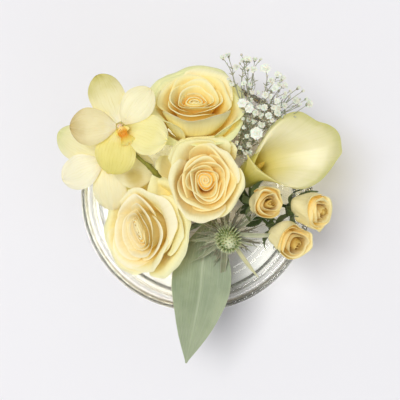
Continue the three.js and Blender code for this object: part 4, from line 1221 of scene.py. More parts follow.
orchid(
    "orchid_front", at(120.5, 126.5, 150), (-0.1, 0.02, 1),
    [
        ("petal_left", 180, 35, 28, 0.5, 1.2, 1.6, T_FL, 1.0),
        ("petal_right", 51, 33, 24.5, -1.0, 1.0, 1.6, T_FR, 1.0),
        ("sepal_dorsal", 115, 40, 27, -3.0, 2.4, 0, T_FD, 1.0),
        ("sepal_lower_right", -17, 33.5, 30.5, -1.0, 2.0, 0, T_FLR, 1.0),
        ("sepal_lower_left", -101, 33, 31, -2.0, 2.0, -1.7, T_FLL, 1.0),
    ],
    -62, 101,
)
T_RL = orchid_tepal_material("orchid2_side_left", (0.82, 0.77, 0.48), (0.90, 0.86, 0.62), (0.91, 0.87, 0.66), ((0.90, 0.86, 0.64), 0.7, 0.4), PALE)
T_RR = orchid_tepal_material("orchid2_side_right", (0.84, 0.74, 0.34), (0.84, 0.76, 0.40), (0.84, 0.76, 0.40), ((0.74, 0.68, 0.30), 0.6, 0.7), PALE)
T_RD = orchid_tepal_material("orchid2_dorsal", (0.84, 0.79, 0.46), (0.85, 0.80, 0.47), (0.88, 0.83, 0.54), ((0.64, 0.67, 0.24), 0.60, 0.6), PALE)
sp = at(134.5, 176, 121)
T_RLR = orchid_tepal_material("orchid2_lower_right", (0.80, 0.74, 0.40), (0.86, 0.80, 0.48), (0.87, 0.81, 0.50), ((0.76, 0.67, 0.32), 0.6, 0.6), (0.80, 0.74, 0.4), spot=((sp[0], sp[1], sp[2], 9.0), (0.60, 0.47, 0.12), (0.20, 0.10, 0.02)))
T_RLL = orchid_tepal_material("orchid2_lower_left", (0.86, 0.79, 0.44), (0.89, 0.83, 0.52), (0.90, 0.85, 0.56), ((0.89, 0.83, 0.50), 0.7, 0.4), PALE)
orchid(
    "orchid_rear", at(106, 160, 122), (-0.16, 0.0, 1),
    [
        ("petal_left", 204, 35.5, 26.5, -4.5, 1.2, 1.6, T_RL, 1.0),
        ("petal_right", 62, 30, 24, -3, 1.0, 1.6, T_RR, 1.0),
        ("sepal_dorsal", 151, 42.5, 27, -6.5, 2.4, 0, T_RD, 1.0),
        ("sepal_lower_right", -18, 35, 29, -8, 2.0, 0, T_RLR, 1.0),
        ("sepal_lower_left", -86, 36, 26, -11, 2.0, -1.7, T_RLL, 1.0),
    ],
    -48, 131, 7.4,
)

tip = at(123, 137, 139)
fork = at(161, 179, 115)
low = at(176, 196, 90)
spike_path = curve([at(146, 163, 131), fork, low, *down(low, 2.1)], 110)
rng = np.random.default_rng(5)
parts = [tube(spike_path, 2.1 * np.interp(np.linspace(0, 1, 110), [0, 0.03, 0.1, 1], [0.55, 0.85, 1.0, 1.0]), 22, (0.5, 0.5, 0.3, 0.5), stalk_bumps(6, (0.12, 0.3, 0.58), 0.04, 0.2))]
p1 = curve([at(150, 167, 127.5), at(137, 156, 134), tip, at(120.8, 128, 144)], 46)
parts.append(tube(p1, np.interp(np.linspace(0, 1, 46), [0, 0.2, 0.8, 1], [1.5, 1.3, 1.25, 1.6]), 16, (0.5, 0.5, 0.6, 0.5), stalk_bumps(8, (0.5,), 0.05, 0.1)))
p2 = curve([at(162, 180, 114.5), at(140, 177, 109), at(118, 167, 110), at(107.2, 161.2, 116.5)], 56)
parts.append(tube(p2, np.interp(np.linspace(0, 1, 56), [0, 0.2, 0.8, 1], [1.4, 1.2, 1.2, 1.5]), 16, (0.5, 0.5, 0.7, 0.5), stalk_bumps(9, (0.45,), 0.05, 0.1)))
# bracts that clasp the spike under each pedicel, and one lower down the spike
for q, d, size_ in ((at(149, 166, 129), at(137, 156, 134), 6.0), (fork, at(140, 177, 109), 6.5), (spike_path[44], spike_path[38], 5.0)):
    ax = unit(d - q)
    sd = unit(np.cross(ax, [0, 0, 1]))
    upv = np.cross(sd, ax)
    u = np.linspace(-1, 1, 15)
    v = np.linspace(0, 1, 18)
    U, V = np.meshgrid(u, v)
    wv = 2.3 * (1 - V) ** 0.7 + 0.1
    ang = U * 1.9 * (1 - 0.55 * V)
    P = q - ax * 1.5 + ax * (V * size_)[..., None] + sd * (wv * np.sin(ang))[..., None] - upv * (wv * np.cos(ang) * (1 + 0.5 * V))[..., None]
    parts.append(shell(P, 0.35, petal_attributes(U, V, 0.4, 0.5)))
shown("orchid_spray_stalk", parts, SPIKE, ["orchid_spike"])


# ------------------------------------------------------------------ calla
MARGIN = [
    (251, 166, 121), (256, 151, 126), (262, 140, 130), (270, 128, 133),
    (280, 118, 134), (290, 112.5, 134), (301, 111.5, 133), (310, 116, 131),
    (318, 121, 129), (328, 124, 128), (335.5, 128.5, 126.5), (339.8, 134.5, 125),
    (341.5, 143.5, 123.5), (340, 154, 124), (335, 163.5, 125), (329, 172, 126),
    (320.5, 181, 128), (312, 186, 129), (303, 189, 130), (292, 188, 130), (282, 184.5, 131),
    (273, 179, 131), (263, 172, 130), (254, 163.5, 128), (247, 154, 125),
]
NS = 181
margin = curve([at(*p) for p in MARGIN], NS)
base = at(237, 184, 92)
throat = at(254, 170.5, 112)
axis = unit(throat - base)
side = unit(np.array([-axis[1], axis[0], 0.0]))
upv = unit(np.cross(axis, side))
if upv[2] < 0:
    upv = -upv


def calla_ring(c, r, s):
    a = np.radians(-22 + 404 * s)
    k = r * (0.93 + 0.16 * s)
    return c + upv * (k * np.cos(a))[..., None] + side * (k * np.sin(a))[..., None]


NV = 84
S = np.linspace(0, 1, NS)
wave = Waves(np.random.default_rng(77), 6, 3.0)
rows = []
V_rows = np.linspace(0, 1, NV)
for v in V_rows:
    if v < 0.26:
        t = v / 0.26
        rows.append(calla_ring(base + (throat - base) * t, np.full(NS, 5.4 + 4.4 * t * t * (3 - 2 * t)), S))
        continue
    t = (v - 0.26) / 0.74
    q = calla_ring(throat, np.full(NS, 9.8), S)
    reach = np.linalg.norm(margin - q, axis=1)[:, None]
    out = margin - throat
    out[:, 2] = 0
    out = unit(out)
    t0 = axis * reach * 1.1
    t1 = out * reach * 0.8 + np.array([0, 0, 1.0]) * reach * 0.02
    h = [2 * t**3 - 3 * t * t + 1, t**3 - 2 * t * t + t, -2 * t**3 + 3 * t * t, t**3 - t * t]
    p = q * h[0] + t0 * h[1] + margin * h[2] + t1 * h[3]
    # the margin rolls over and ripples gently
    e = smooth((t - 0.80) / 0.20)
    lipw = smooth(S / 0.12) * smooth((1 - S) / 0.12)
    p = p - np.array([0, 0, 1.0]) * (2.3 * e * e * lipw)[:, None]
    p = p + np.array([0, 0, 1.0]) * (0.8 * wave(S * 7, t * 1.2) * smooth((t - 0.35) / 0.5) * lipw)[:, None]
    rows.append(p)
P = np.array(rows)
# the drip tip, drawn out and turned down
tip_w = np.exp(-(((S - 0.535) / 0.020) ** 2))
V2 = np.repeat(V_rows[:, None], NS, 1)
tw = tip_w[None, :] * smooth((V2 - 0.86) / 0.14)
P = P + np.array([1.0, -0.1, -1.3]) * (1.5 * tw)[..., None]
U2 = np.repeat(S[None, :] * 2 - 1, NV, 0)
A = petal_attributes(U2, V2, 0.4, 0.5)
th = 1.1 - 0.65 * smooth((V2 - 0.85) / 0.15)


def calla_material():
    n = Nodes("calla_spathe")
    along, across, chance, age, face = n.attributes()
    pos = n.position()
    cloud = n.noise(pos, 60.0, 3.0, 0.5)
    a = n.math("ADD", along, n.math("MULTIPLY_ADD", cloud, 0.12, -0.06))
    # inside: olive toward the throat, brightest about three quarters of the way out, greener at the rolled margin. The
    # olive throat and green margin are partly the spathe's own colour and partly painted shade; the bright band is
    # partly a painted highlight on the lit middle of the blade.
    inside = n.ramp(a, [(0.0, (0.68, 0.56, 0.10)), (0.28, (0.72, 0.61, 0.14)), (0.40, (0.75, 0.66, 0.23)), (0.56, (0.78, 0.71, 0.35)), (0.76, (0.87, 0.81, 0.50)), (0.90, (0.78, 0.73, 0.40)), (1.0, (0.60, 0.58, 0.22))])
    outside = n.ramp(a, [(0.0, (0.30, 0.30, 0.04)), (0.24, (0.38, 0.35, 0.05)), (0.40, (0.49, 0.44, 0.075)), (0.62, (0.62, 0.55, 0.15)), (1.0, (0.72, 0.66, 0.26))])
    colour = n.mix(face, inside, outside)
    # fine parallel nerves from the throat to the margin
    nerve = n.noise(n.vec(n.math("MULTIPLY", across, 150.0), n.math("MULTIPLY", along, 2.0), 0.3), 1.0, 3.0, 0.6)
    broad = n.noise(n.vec(n.math("MULTIPLY", across, 34.0), n.math("MULTIPLY", along, 1.6), 0.7), 1.0, 2.0, 0.5)
    colour = n.mix(n.math("MULTIPLY", n.range(nerve, 0.46, 0.66), 0.30), colour, n.mix(1.0, colour, (0.88, 0.90, 0.66), "MULTIPLY"))
    colour = n.mix(n.math("MULTIPLY", n.range(broad, 0.5, 0.75), 0.35), colour, n.mix(1.0, colour, (0.90, 0.92, 0.74), "MULTIPLY"))
    normal = n.bump(n.math("ADD", n.math("MULTIPLY", nerve, 0.8), n.math("MULTIPLY", n.noise(pos, 2600.0, 1.0), 0.3)), 0.00018, 0.6)
    p = n.principled(
        colour,
        n.math("MULTIPLY_ADD", cloud, 0.12, 0.30),
        normal,
        Specular_IOR_Level=0.4,
        Coat_Weight=0.05,
        Coat_Roughness=0.5,
        Subsurface_Weight=0.2,
        Subsurface_Scale=0.0005,
    )
    p.inputs["Subsurface Radius"].default_value = (1.0, 0.9, 0.35)
    return n.done(n.thin(p.outputs[0], (0.62, 0.58, 0.36)))


shown("calla_sail", [shell(P, th, A)], calla_material(), ["calla_spathe"])


def spadix_material():
    n = Nodes("calla_spadix")
    pos = n.position()
    v = n.new("TexVoronoi")
    v.inputs["Scale"].default_value = 1500.0
    n.link(pos, v.inputs["Vector"])
    colour = n.mix(n.range(v.outputs[0], 0.0, 0.5), (0.80, 0.64, 0.16), (0.60, 0.42, 0.06))
    normal = n.bump(v.outputs[0], -0.0003, 0.8)
    return n.done(n.principled(colour, 0.6, normal, Specular_IOR_Level=0.2, Subsurface_Weight=0.2, Subsurface_Scale=0.0005).outputs[0])


inner = base + axis * 1.5
top = throat + axis * 15
sp_path = np.linspace(inner, top, 74)
rad = np.interp(np.linspace(0, 1, 74), [0, 0.1, 0.86, 0.95, 0.985, 1], [2.6, 3.0, 1.95, 1.5, 0.9, 0.25])
shown(
    "calla_finger",
    [tube(sp_path, rad, 40, (0.5, 0.5, 0.5, 0.5), lambda t, a: 1 + 0.075 * np.sin(t * 190) * np.sin(a * 13 + np.floor(t * 60.5) * 1.7) + 0.02 * np.sin(a * 3 + t * 11))],
    spadix_material(), ["calla_spadix"],
)
neck = base - axis * 9
path = curve([base - axis * 0.2, neck, *down(neck, 4.6)], 90)
rad = 4.6 * np.interp(np.linspace(0, 1, 90), [0, 0.05, 0.2, 0.985, 1], [1.08, 1.02, 1.0, 1.0, 0.96])
shown("calla_stalk", [tube(path, rad, 44, (0.5, 0.5, 0.4, 0.5), lambda t, a: 1 + 0.018 * np.cos(9 * a) + 0.02 * np.sin(t * 9 + a))], PALE_STEM, ["calla_stem"])


# ------------------------------------------------------------------ spray roses
SR_K = [-3.0, -1.0, 0.0, 3.0, 5.0, 7.0, 10.0, 13.0, 16.0]
SR_R = [0.5, 1.1, 1.7, 4.0, 6.2, 9.0, 13.4, 17.2, 20.4]
SH_K = [0, 2, 4, 6, 10, 16]
SH_D = [170, 130, 104, 92, 78, 68]


def spray_petal(k, n, m, top, curl, openness):
    theta = math.radians(137.5 * k)
    half = math.radians(np.interp(k, SH_K, SH_D))
    u = np.linspace(-1, 1, m)
    v = np.linspace(0, 1, n) ** 0.85
    U, V = np.meshgrid(u, v)
    claw = np.where(V < 0.6, 0.34 + 0.66 * np.sin(math.pi / 2 * V / 0.6), 1.0)
    th = theta + U * half * claw
    kap = k + 0.55 * (U * half * claw) / math.radians(137.5)
    rho = np.interp(kap, SR_K, SR_R)
    t = V * top * (1 - 0.24 * np.abs(U) ** 2.3) * (1 + 0.05 * np.exp(-((U / 0.14) ** 2)) * smooth((V - 0.8) / 0.2))
    zc = np.interp(rho, [0, 5, 8, 14, 20, 24], [35.0, 34.8, 34.6, 33.6, 30.6, 27.5]) - 2.0 * openness * smooth((rho - 14) / 8)
    f0 = np.interp(rho, [0, 5.5, 8.4, 12, 18, 24], [99, 95, 86, 80, 74, 66])
    f1 = np.interp(rho, [0, 3, 6, 8.4, 12, 18, 24], [120, 140, 135, 30, 4, -25, -60])
    lip = np.interp(rho, [0, 4, 7, 9, 14, 20, 24], [2.0, 3.6, 3.4, 2.0, 2.6, 4.4, 6.5]) * curl * (1 - 0.4 * np.abs(U) ** 1.6)
    r0 = 0.3 + 0.17 * rho
    z0 = np.interp(rho, [0, 24], [3.0, 0.8])
    belly = np.interp(rho, [0, 7, 12, 18, 24], [2.4, 5.4, 10.2, 16.5, 22.0])
    r, z = bowl_profile(t, rho, zc, f0, f1, lip, r0, z0, belly)
    w = smooth((kap - 4.0) / 3.0) * smooth((z - 6) / 18)
    r = r * (1 + 0.03 * w * np.cos(3 * th + 0.9 * kap))
    return np.stack([r * np.cos(th) + 0.9 * w * np.sin(kap + 0.7), r * np.sin(th) + 0.9 * w * np.cos(1.15 * kap), z], -1), U, V, t


def spray_rose(i, origin, direction, s, turn, seed, last, openness, squeeze, angle):
    rng = np.random.default_rng(seed)
    place = Place(origin, direction, s)
    pp = Place(origin, direction, s * 0.64)
    field = Field(seed + 1, 1.9, 17.0)
    warp = shift_heart(1.0, 0.5, squeeze, angle, 22.0)
    wave = Waves(rng, 6, 3.2)
    spin = math.radians(turn * 3.1)
    c, sn = math.cos(spin), math.sin(spin)
    rot = np.array([[c, sn, 0], [-sn, c, 0], [0, 0, 1]])
    parts = []
    for k in range(last):
        top = 1.0 - 0.05 * rng.random() - (0.26 * rng.random() if k >= last - 4 else 0.0)
        P, U, V, t = spray_petal(k, 32, 40, top, rng.uniform(0.7, 1.25), openness)
        e = smooth((V - 0.7) / 0.3)
        P[..., 2] += e * (1.1 * wave(U * 1.5 + k * 1.7, k * 0.9) + 1.3 * np.exp(-((U / 0.2) ** 2)) * rng.uniform(0, 1))
        A = petal_attributes(U, t / top, rng.random(), min(1.0, (k / last) ** 1.15))
        Q, th = pp(field(warp(P @ rot))), edge_thin(U, V, 0.36, 0.06) * s
        parts.append(shell(Q[:, ::-1], th[:, ::-1], A[:, ::-1]))
    shown(f"spray_rose_{i}_head", parts, SPRAY_PETAL, [f"spray_rose_{i}_petals"])
    cup = [[0, 0], [1.8, 0], [2.9, -1.8], [2.9, -4.2], [1.6, -6], [0, -6]]
    parts = calyx(place, s, turn, cup, (2.4, 10.6, 12.9, 14.4), (-1.2, -2.4, 6.4, 11.5), 2.2, True, seed + 5, 0.6)
    shown(f"spray_rose_{i}_sepals", parts, DARK_GREEN, [f"spray_rose_{i}_calyx"])
    return Place(origin, direction, 1.0)([0, 0, -6 * s + 0.2])


def leaflet(root_, tip_, wide, seed, droop=1.5, teeth=9, fold=0.35):
    """A small saw-edged leaf from root_ to tip_ with a sunken midrib."""
    ax = tip_ - root_
    length = np.linalg.norm(ax)
    ax = ax / length
    sd = unit(np.cross(ax, [0, 0, 1.0]))
    nn = np.cross(sd, ax)
    u = np.linspace(-1, 1, 25)
    v = np.linspace(0, 1, 60)
    U, V = np.meshgrid(u, v)
    saw = np.abs(((V * teeth) % 1.0) - 0.0)
    W = wide / 2 * np.sin(math.pi * np.clip(0.02 + 0.975 * V, 0, 1) ** 0.8) ** 0.8 * (1 - 0.13 * saw * smooth(np.abs(U) * 3 - 2)) + 0.12
    x = V * length + 0.10 * W * np.abs(U)
    y = U * W
    z = -droop * V * V + fold * W * np.abs(U) - 0.2 * W * U * U
    z = z + 0.16 * np.sin((V - 0.25 * np.abs(U)) * 40) * np.abs(U) * (1 - np.abs(U)) * 3
    P = root_ + ax * x[..., None] + sd * y[..., None] + nn * z[..., None]
    return shell(P, 0.35, petal_attributes(U, V, (seed * 0.37) % 1, 0.5))


a = spray_rose(1, at(255.5, 202.5, 112), (0.42, -0.03, 1), 1.15, 20, 301, 14, 0.6, 0.12, 30)
b = spray_rose(2, at(294.5, 207.5, 101), (0.98, -0.14, 0.95), 1.19, 50, 317, 15, 0.8, 0.10, 80)
c3 = spray_rose(3, at(276, 230, 103), (0.6, -0.48, 1), 1.23, 0, 335, 15, 1.0, 0.12, 10)
node1 = at(258, 206, 92)
node2 = at(250, 206, 82)
parts = []
path = curve([a, node1, node2, *down(node2, 1.7)], 100)
parts.append(tube(path, 1.7 * np.interp(np.linspace(0, 1, 100), [0, 0.05, 0.15, 1], [0.85, 0.9, 1.0, 1.0]), 20, (0.5, 0.5, 0.3, 0.5), stalk_bumps(40, (0.12, 0.2, 0.55), 0.05, 0.2)))
p2_ = curve([b, b + np.array([-6, 1, -4.0]), at(275, 206, 93), node2 + np.array([0.6, 0, 0.6])], 50)
p3_ = curve([c3, c3 + np.array([-3, 2.5, -5.0]), at(262, 218, 88), node2 + np.array([0.2, -0.4, -1.0])], 50)
parts.append(tube(p2_, 1.2, 16, (0.5, 0.5, 0.5, 0.5), stalk_bumps(41, (0.5,), 0.06, 0.2)))
parts.append(tube(p3_, 1.2, 16, (0.5, 0.5, 0.7, 0.5), stalk_bumps(42, (0.5,), 0.06, 0.2)))
for q, e, w_ in (
    (at(252, 206, 88), at(236, 190, 104), 8.0),
    (at(251, 207, 87), at(238, 212, 103), 7.5),
    (at(256, 206, 92), at(250, 188, 106), 7.0),
    (at(262, 218, 89), at(247, 226, 98), 7.0),
    (at(275, 206, 94), at(280, 197, 104), 5.0),
):
    parts.append(leaflet(q, e, w_, int(q[0] * 10) % 17))
shown("spray_rose_twigs", parts, DARK_GREEN, ["spray_rose_branch"])


# ------------------------------------------------------------------ sea holly
HOLLY = plant("sea_holly_green", (0.58, 0.62, 0.38), (0.38, 0.44, 0.24), glow=0.1)


def bract_material():
    """Dark brown through grey-green to straw by each bract's tone, greener at its foot; the darker tones are partly
    painted shade among the crowded bracts.
    """
    n = Nodes("sea_holly_bract")
    along, across, chance, age, face = n.attributes()
    pos = n.position()
    tone = n.math("ADD", n.math("MULTIPLY_ADD", age, 1.3, -0.3), n.math("MULTIPLY_ADD", n.noise(pos, 160.0, 2.0), 0.5, -0.25))
    colour = n.ramp(tone, [(0.0, (0.13, 0.11, 0.075)), (0.3, (0.21, 0.20, 0.13)), (0.55, (0.31, 0.34, 0.20)), (0.8, (0.50, 0.51, 0.34)), (1.0, (0.68, 0.65, 0.38))])
    colour = n.mix(n.math("MULTIPLY", n.range(along, 0.35, 0.0), 0.6), colour, (0.20, 0.25, 0.11))
    edge = n.math("ABSOLUTE", n.math("MULTIPLY_ADD", across, 2.0, -1.0))
    colour = n.mix(n.math("MULTIPLY", n.range(edge, 0.6, 1.0), 0.45), colour, (0.66, 0.66, 0.50))
    fine = n.noise(n.vec(n.math("MULTIPLY", across, 22.0), n.math("MULTIPLY", along, 3.0), chance), 1.0, 2.0, 0.6)
    colour = n.mix(n.math("MULTIPLY", n.range(fine, 0.45, 0.65), 0.35), colour, n.mix(1.0, colour, (0.6, 0.62, 0.5), "MULTIPLY"))
    p = n.principled(colour, 0.5, n.bump(fine, 0.0003, 0.6), Specular_IOR_Level=0.35, Subsurface_Weight=0.1, Subsurface_Scale=0.0006)
    return n.done(p.outputs[0])


BRACT = bract_material()
hp = Place(at(227.4, 235.6, 112), (0.10, -0.42, 1), 1.07)
rng = np.random.default_rng(9)
cone = curve([[4.0, -1], [5.7, 1.2], [6.5, 5.0], [6.0, 9.6], [4.6, 13.4], [2.5, 15.6], [0.5, 16.4]], 48)
prof = np.vstack([[0, -1.2], cone, [0, 16.5]])
parts = [lathe(prof, 56, hp, (0.1, 0.5, 0.4, 0.0))]
zs = cone[:, 1]
rs = cone[:, 0]
slope_r, slope_z = np.gradient(rs), np.gradient(zs)
area = np.cumsum(rs * np.hypot(slope_r, slope_z))
area = area / area[-1]
COUNT = 138
for i in range(COUNT):
    f = 0.02 + 0.975 * (i + 0.5) / COUNT
    zz = np.interp(f, area, zs)
    rr = np.interp(f, area, rs)
    a_ = math.radians(137.508 * i)
    j = int(np.argmin(np.abs(area - f)))
    nr = unit(np.array([slope_z[j], -slope_r[j]]))
    out = np.array([math.cos(a_) * nr[0], math.sin(a_) * nr[0], nr[1]])
    d = unit(out + np.array([0, 0, 0.22]) + rng.normal(size=3) * 0.08)
    q = np.array([math.cos(a_) * rr, math.sin(a_) * rr, zz])
    ln = rng.uniform(3.4, 4.6) * (1.0 - 0.25 * f)
    bend = np.array([0, 0, 0.5]) * ln * 0.2
    pts = curve([q - out * 0.5, q + d * 0.35 * ln, q + d * 0.75 * ln + bend * 0.5, q + d * ln + bend], 10)
    wdt = rng.uniform(0.88, 1.1) * (0.90 - 0.16 * f)
    parts.append(tube(hp(pts), np.array([0.50, 0.60, 0.64, 0.62, 0.58, 0.52, 0.46, 0.38, 0.26, 0.08]) * wdt, 8, (0.5, 0.5, rng.random(), 0.2 + 0.7 * rng.random())))
    # thin awns between the florets
    if i % 2 == 0 and f < 0.9:
        e_ = q + unit(out + rng.normal(size=3) * 0.2) * ln * 1.45
        parts.append(tube(hp(np.linspace(q, e_, 5)), np.array([0.24, 0.20, 0.14, 0.08, 0.02]), 5, (1.0, 0.5, rng.random(), 1.0)))


def holly_material():
    n = Nodes("sea_holly_head")
    along, across, chance, age, face = n.attributes()
    pos = n.position()
    # spikes run from near black at their feet to pale grey-green at their tips: partly the head's own green, partly
    # painted shade in the gaps between the florets
    colour = n.ramp(n.math("ADD", along, n.math("MULTIPLY_ADD", n.noise(pos, 500.0), 0.3, -0.15)), [(0.0, (0.09, 0.12, 0.03)), (0.30, (0.22, 0.28, 0.09)), (0.60, (0.46, 0.52, 0.25)), (0.85, (0.64, 0.68, 0.42)), (1.0, (0.70, 0.72, 0.50))])
    colour = n.mix(n.math("MULTIPLY", n.math("MULTIPLY", age, 0.4), n.range(along, 0.2, 0.7)), colour, (0.66, 0.70, 0.44))
    return n.done(n.principled(colour, 0.55, n.bump(n.noise(pos, 3000.0), 0.0002, 0.5), Specular_IOR_Level=0.3, Subsurface_Weight=0.15, Subsurface_Scale=0.0005).outputs[0])


shown("sea_holly_head", parts, holly_material(), ["sea_holly_cone"])

# azimuth, length, width, rise, plain edge, tone from brown to straw (the darker tones partly painted shade)
BLADES = [
    (192, 33, 3.4, -2, 0, 0.6), (209, 28, 3.2, 0, 0, 0.5), (226, 35, 3.8, 1, 0, 0.6), (238, 22, 3.0, 0, 0, 0.45),
    (252, 27, 3.2, 0, 0, 0.5), (262, 37, 5.2, 1, 1, 0.55), (271, 33, 3.4, 0, 1, 0.75), (305, 42, 3.2, 2, 1, 1.0),
    (8, 40, 3.6, 9, 1, 0.85), (36, 33, 3.2, 3, 0, 0.5), (52, 36, 2.8, 4, 0, 0.5), (-14, 30, 3.0, 4, 0, 0.3),
    (-32, 24, 2.8, 2, 0, 0.25), (18, 27, 2.6, 6, 0, 0.3), (68, 27, 3.0, 2, 0, 0.35), (92, 25, 3.0, -2, 0, 0.4),
    (112, 25, 2.8, -3, 0, 0.35), (134, 25, 2.8, -3, 0, 0.4), (155, 26, 2.8, -3, 0, 0.45), (174, 26, 2.8, -3, 0, 0.5),
]


def bract(az, length, wide, rise, seed, z_base=-3.0, bend=0.0, spines=4, smoothly=False, tone=0.5):
    """A narrow rigid bract, folded along its midrib, with a few long spines that
    leave its sides at an acute angle and point forward."""
    rng = np.random.default_rng(seed)
    n_ = 60
    u = np.array([-1, -0.7, -0.35, -0.1, 0, 0.1, 0.35, 0.7, 1.0])
    v = np.linspace(0, 1, n_)
    U, V = np.meshgrid(u, v)
    W = wide * (0.30 + 0.22 * np.sin(math.pi * np.minimum(1, V * 1.15)) - 0.26 * V)
    W = np.maximum(W * (1 - smooth((V - 0.7) / 0.3) * 0.92), 0.07)
    if smoothly:
        W = np.maximum(wide * 0.5 * np.sin(math.pi * np.clip(0.12 + 0.87 * V, 0, 1) ** 0.9) ** 0.7, 0.08)
    c_, s_ = math.cos(math.radians(az)), math.sin(math.radians(az))
    sway = (bend + 0.4 * math.sin(seed * 1.3)) * length * 0.12
    kink = rng.uniform(-0.5, 0.5)

    def lay(r, y, z):
        return np.stack([r * c_ - y * s_, r * s_ + y * c_, z], -1)

    def midrib(v_):
        r = 1.6 + (length - 1.6) * v_
        z = z_base + rise * v_ + 0.075 * length * np.sin(math.pi * v_) + kink * np.sin(v_ * 7)
        return r, sway * v_ * v_ + 0.3 * kink * np.sin(v_ * 5), z

    r, y, z = midrib(V)
    P = lay(r, y + U * W, z + 0.42 * np.abs(U) * W)
    th = 0.34 - 0.14 * np.abs(U) + 0.34 * np.exp(-((U / 0.2) ** 2)) * (1 - 0.8 * V)
    chance = rng.random()
    out = [shell(hp(P), th, petal_attributes(U, V, chance, tone))]
    for k in range(spines):
        v0 = 0.20 + 0.56 * (k + rng.uniform(0.1, 0.9)) / spines
        side_ = -1 if (k + seed) % 2 else 1
        ln = rng.uniform(0.20, 0.34) * length * (1.1 - 0.5 * v0)
        ang = math.radians(rng.uniform(24, 44)) * side_
        q = np.array([0, 1, 2, 3]) / 3.0
        r0_, y0_, z0_ = midrib(np.array(v0))
        rr = r0_ + q * ln * math.cos(ang)
        yy = y0_ + q * ln * math.sin(ang) * (1 - 0.18 * q)
        zz = z0_ + q * ln * rng.uniform(0.0, 0.25)
        path = curve(lay(rr, yy, zz), 8)
        out.append(tube(hp(path), np.array([0.42, 0.38, 0.33, 0.28, 0.22, 0.16, 0.10, 0.03]) * (0.8 + 0.1 * wide), 6, (0.9, 0.5, chance, tone)))
    return out


parts = []
for i, (az, ln, wd, rise, kind, tone) in enumerate(BLADES):
    parts.extend(bract(az, ln, wd, rise, 50 + i, -3.0, 0.5 if i % 2 else -0.4, 0 if kind else 4, bool(kind), tone))
# small bracts all round, each of random tone; the darker ones are partly painted shade under the long blades
for i in range(34):
    az = 360 / 34 * i + rng.uniform(-6, 6)
    fan = 1.0 if -50 < ((az + 180) % 360) - 180 < 95 else 0.82
    parts.extend(bract(az, rng.uniform(15, 23) * fan, rng.uniform(1.5, 2.6), rng.uniform(-1.0, 9.0), 80 + i, rng.uniform(-3.6, -1.4), rng.uniform(-1, 1), int(rng.integers(1, 4)), False, rng.uniform(0.2, 0.9)))
col = curve([[2.9, -5.4], [4.4, -3.6], [4.4, -1.6]], 14)
parts.append(lathe(np.vstack([[0, -5.6], col, [0, -1.4]]), 40, hp, (0.2, 0.5, 0.4, 0.3), lambda z, a: 1 + 0.08 * np.cos(11 * a)))
shown("sea_holly_ruff", parts, BRACT, ["sea_holly_bracts"])
q0, q1 = hp([0, 0, -5.0]), hp([0, 0, -16.0])
path = curve([q0, q1, *down(q1, 1.7)], 90)
shown("sea_holly_stalk", [tube(path, 1.7, 22, (0.5, 0.5, 0.5, 0.5), lambda t, a: 1 + 0.05 * np.cos(8 * a) + 0.2 * np.exp(-(((t - 0.33) / 0.01) ** 2)))], STEM, ["sea_holly_stem"])


# ------------------------------------------------------------------ baby's breath
def breath_material():
    n = Nodes("babys_breath")
    along, across, chance, age, face = n.attributes()
    pos = n.position()
    white = n.mix(n.noise(pos, 900.0), (0.95, 0.95, 0.90), (0.88, 0.88, 0.72))
    # smaller florets turn a duller grey-green: partly older florets, partly painted shade inside the clump
    white = n.mix(n.range(age, 0.96, 0.60), white, n.mix(n.noise(pos, 700.0), (0.88, 0.88, 0.77), (0.70, 0.71, 0.57)))
    green = n.mix(n.noise(pos, 300.0), (0.46, 0.47, 0.33), (0.27, 0.28, 0.18))
    colour = n.mix(n.range(age, 0.45, 0.55), green, white)
    colour = n.mix(n.math("MULTIPLY", n.range(along, 0.5, 0.0), n.math("MULTIPLY", n.range(age, 0.45, 0.55), 0.75)), colour, (0.42, 0.46, 0.22))
    return n.done(n.principled(colour, 0.55, n.bump(n.noise(pos, 2600.0), 0.0002, 0.4), Specular_IOR_Level=0.25, Subsurface_Weight=0.2, Subsurface_Scale=0.0005).outputs[0])


BREATH = breath_material()
SPRIGS = [
    ((236, 148, 98), (245, 122, 121), [
        (223, 58, 140, 2.0), (241.5, 55, 142, 1.2), (247.7, 60, 143, 2.0), (236.4, 67, 138, 2.2),
        (260.4, 59.5, 140, 1.2), (253.3, 70, 141, 2.0), (244, 84, 136, 2.0), (229, 79, 132, 1.4),
        (247, 104, 134, 2.4), (243, 118, 128, 2.0), (238, 134, 122, 2.0), (252.5, 92, 139, 1.6)]),
    ((241, 147, 97), (252, 121, 114), [
        (265.5, 69, 143, 2.4), (270.6, 81, 140, 2.0), (277.8, 75.7, 142, 2.0), (274.7, 88, 141, 2.2),
        (283.9, 86, 139, 2.2), (290, 91, 136, 1.2), (265.5, 95, 140, 2.0), (276.7, 101, 137, 2.0),
        (264.5, 107.3, 136, 2.0), (273.7, 108, 135, 2.0), (256, 112, 134, 2.2), (256.3, 133, 128, 2.8)]),
    ((247, 151, 95), (259, 128, 112), [
        (302.8, 91, 139, 1.3), (289.5, 97, 141, 1.3), (295.1, 101.2, 140, 2.2), (308.4, 104, 139, 2.2),
        (284, 106, 137, 2.0), (268.5, 116, 136, 2.0), (278, 113, 137, 2.0), (262, 124, 131, 2.0),
        (250, 144, 118, 2.0), (247, 136, 122, 2.0), (257, 137, 121, 1.6)]),
    ((243, 153, 94), (247, 140, 108), [
        (256.5, 133.5, 134, 3.3), (244, 127, 124, 1.6), (253, 122, 127, 1.7), (237, 143, 116, 1.4),
        (250, 152, 110, 1.7), (232, 152, 108, 1.5), (241, 158, 106, 1.2), (262, 146, 115, 1.4),
        (242.5, 103.5, 137, 2.6), (249, 108.5, 136, 2.6), (240.5, 132, 119, 1.2), (247, 147, 114, 1.2)]),
]


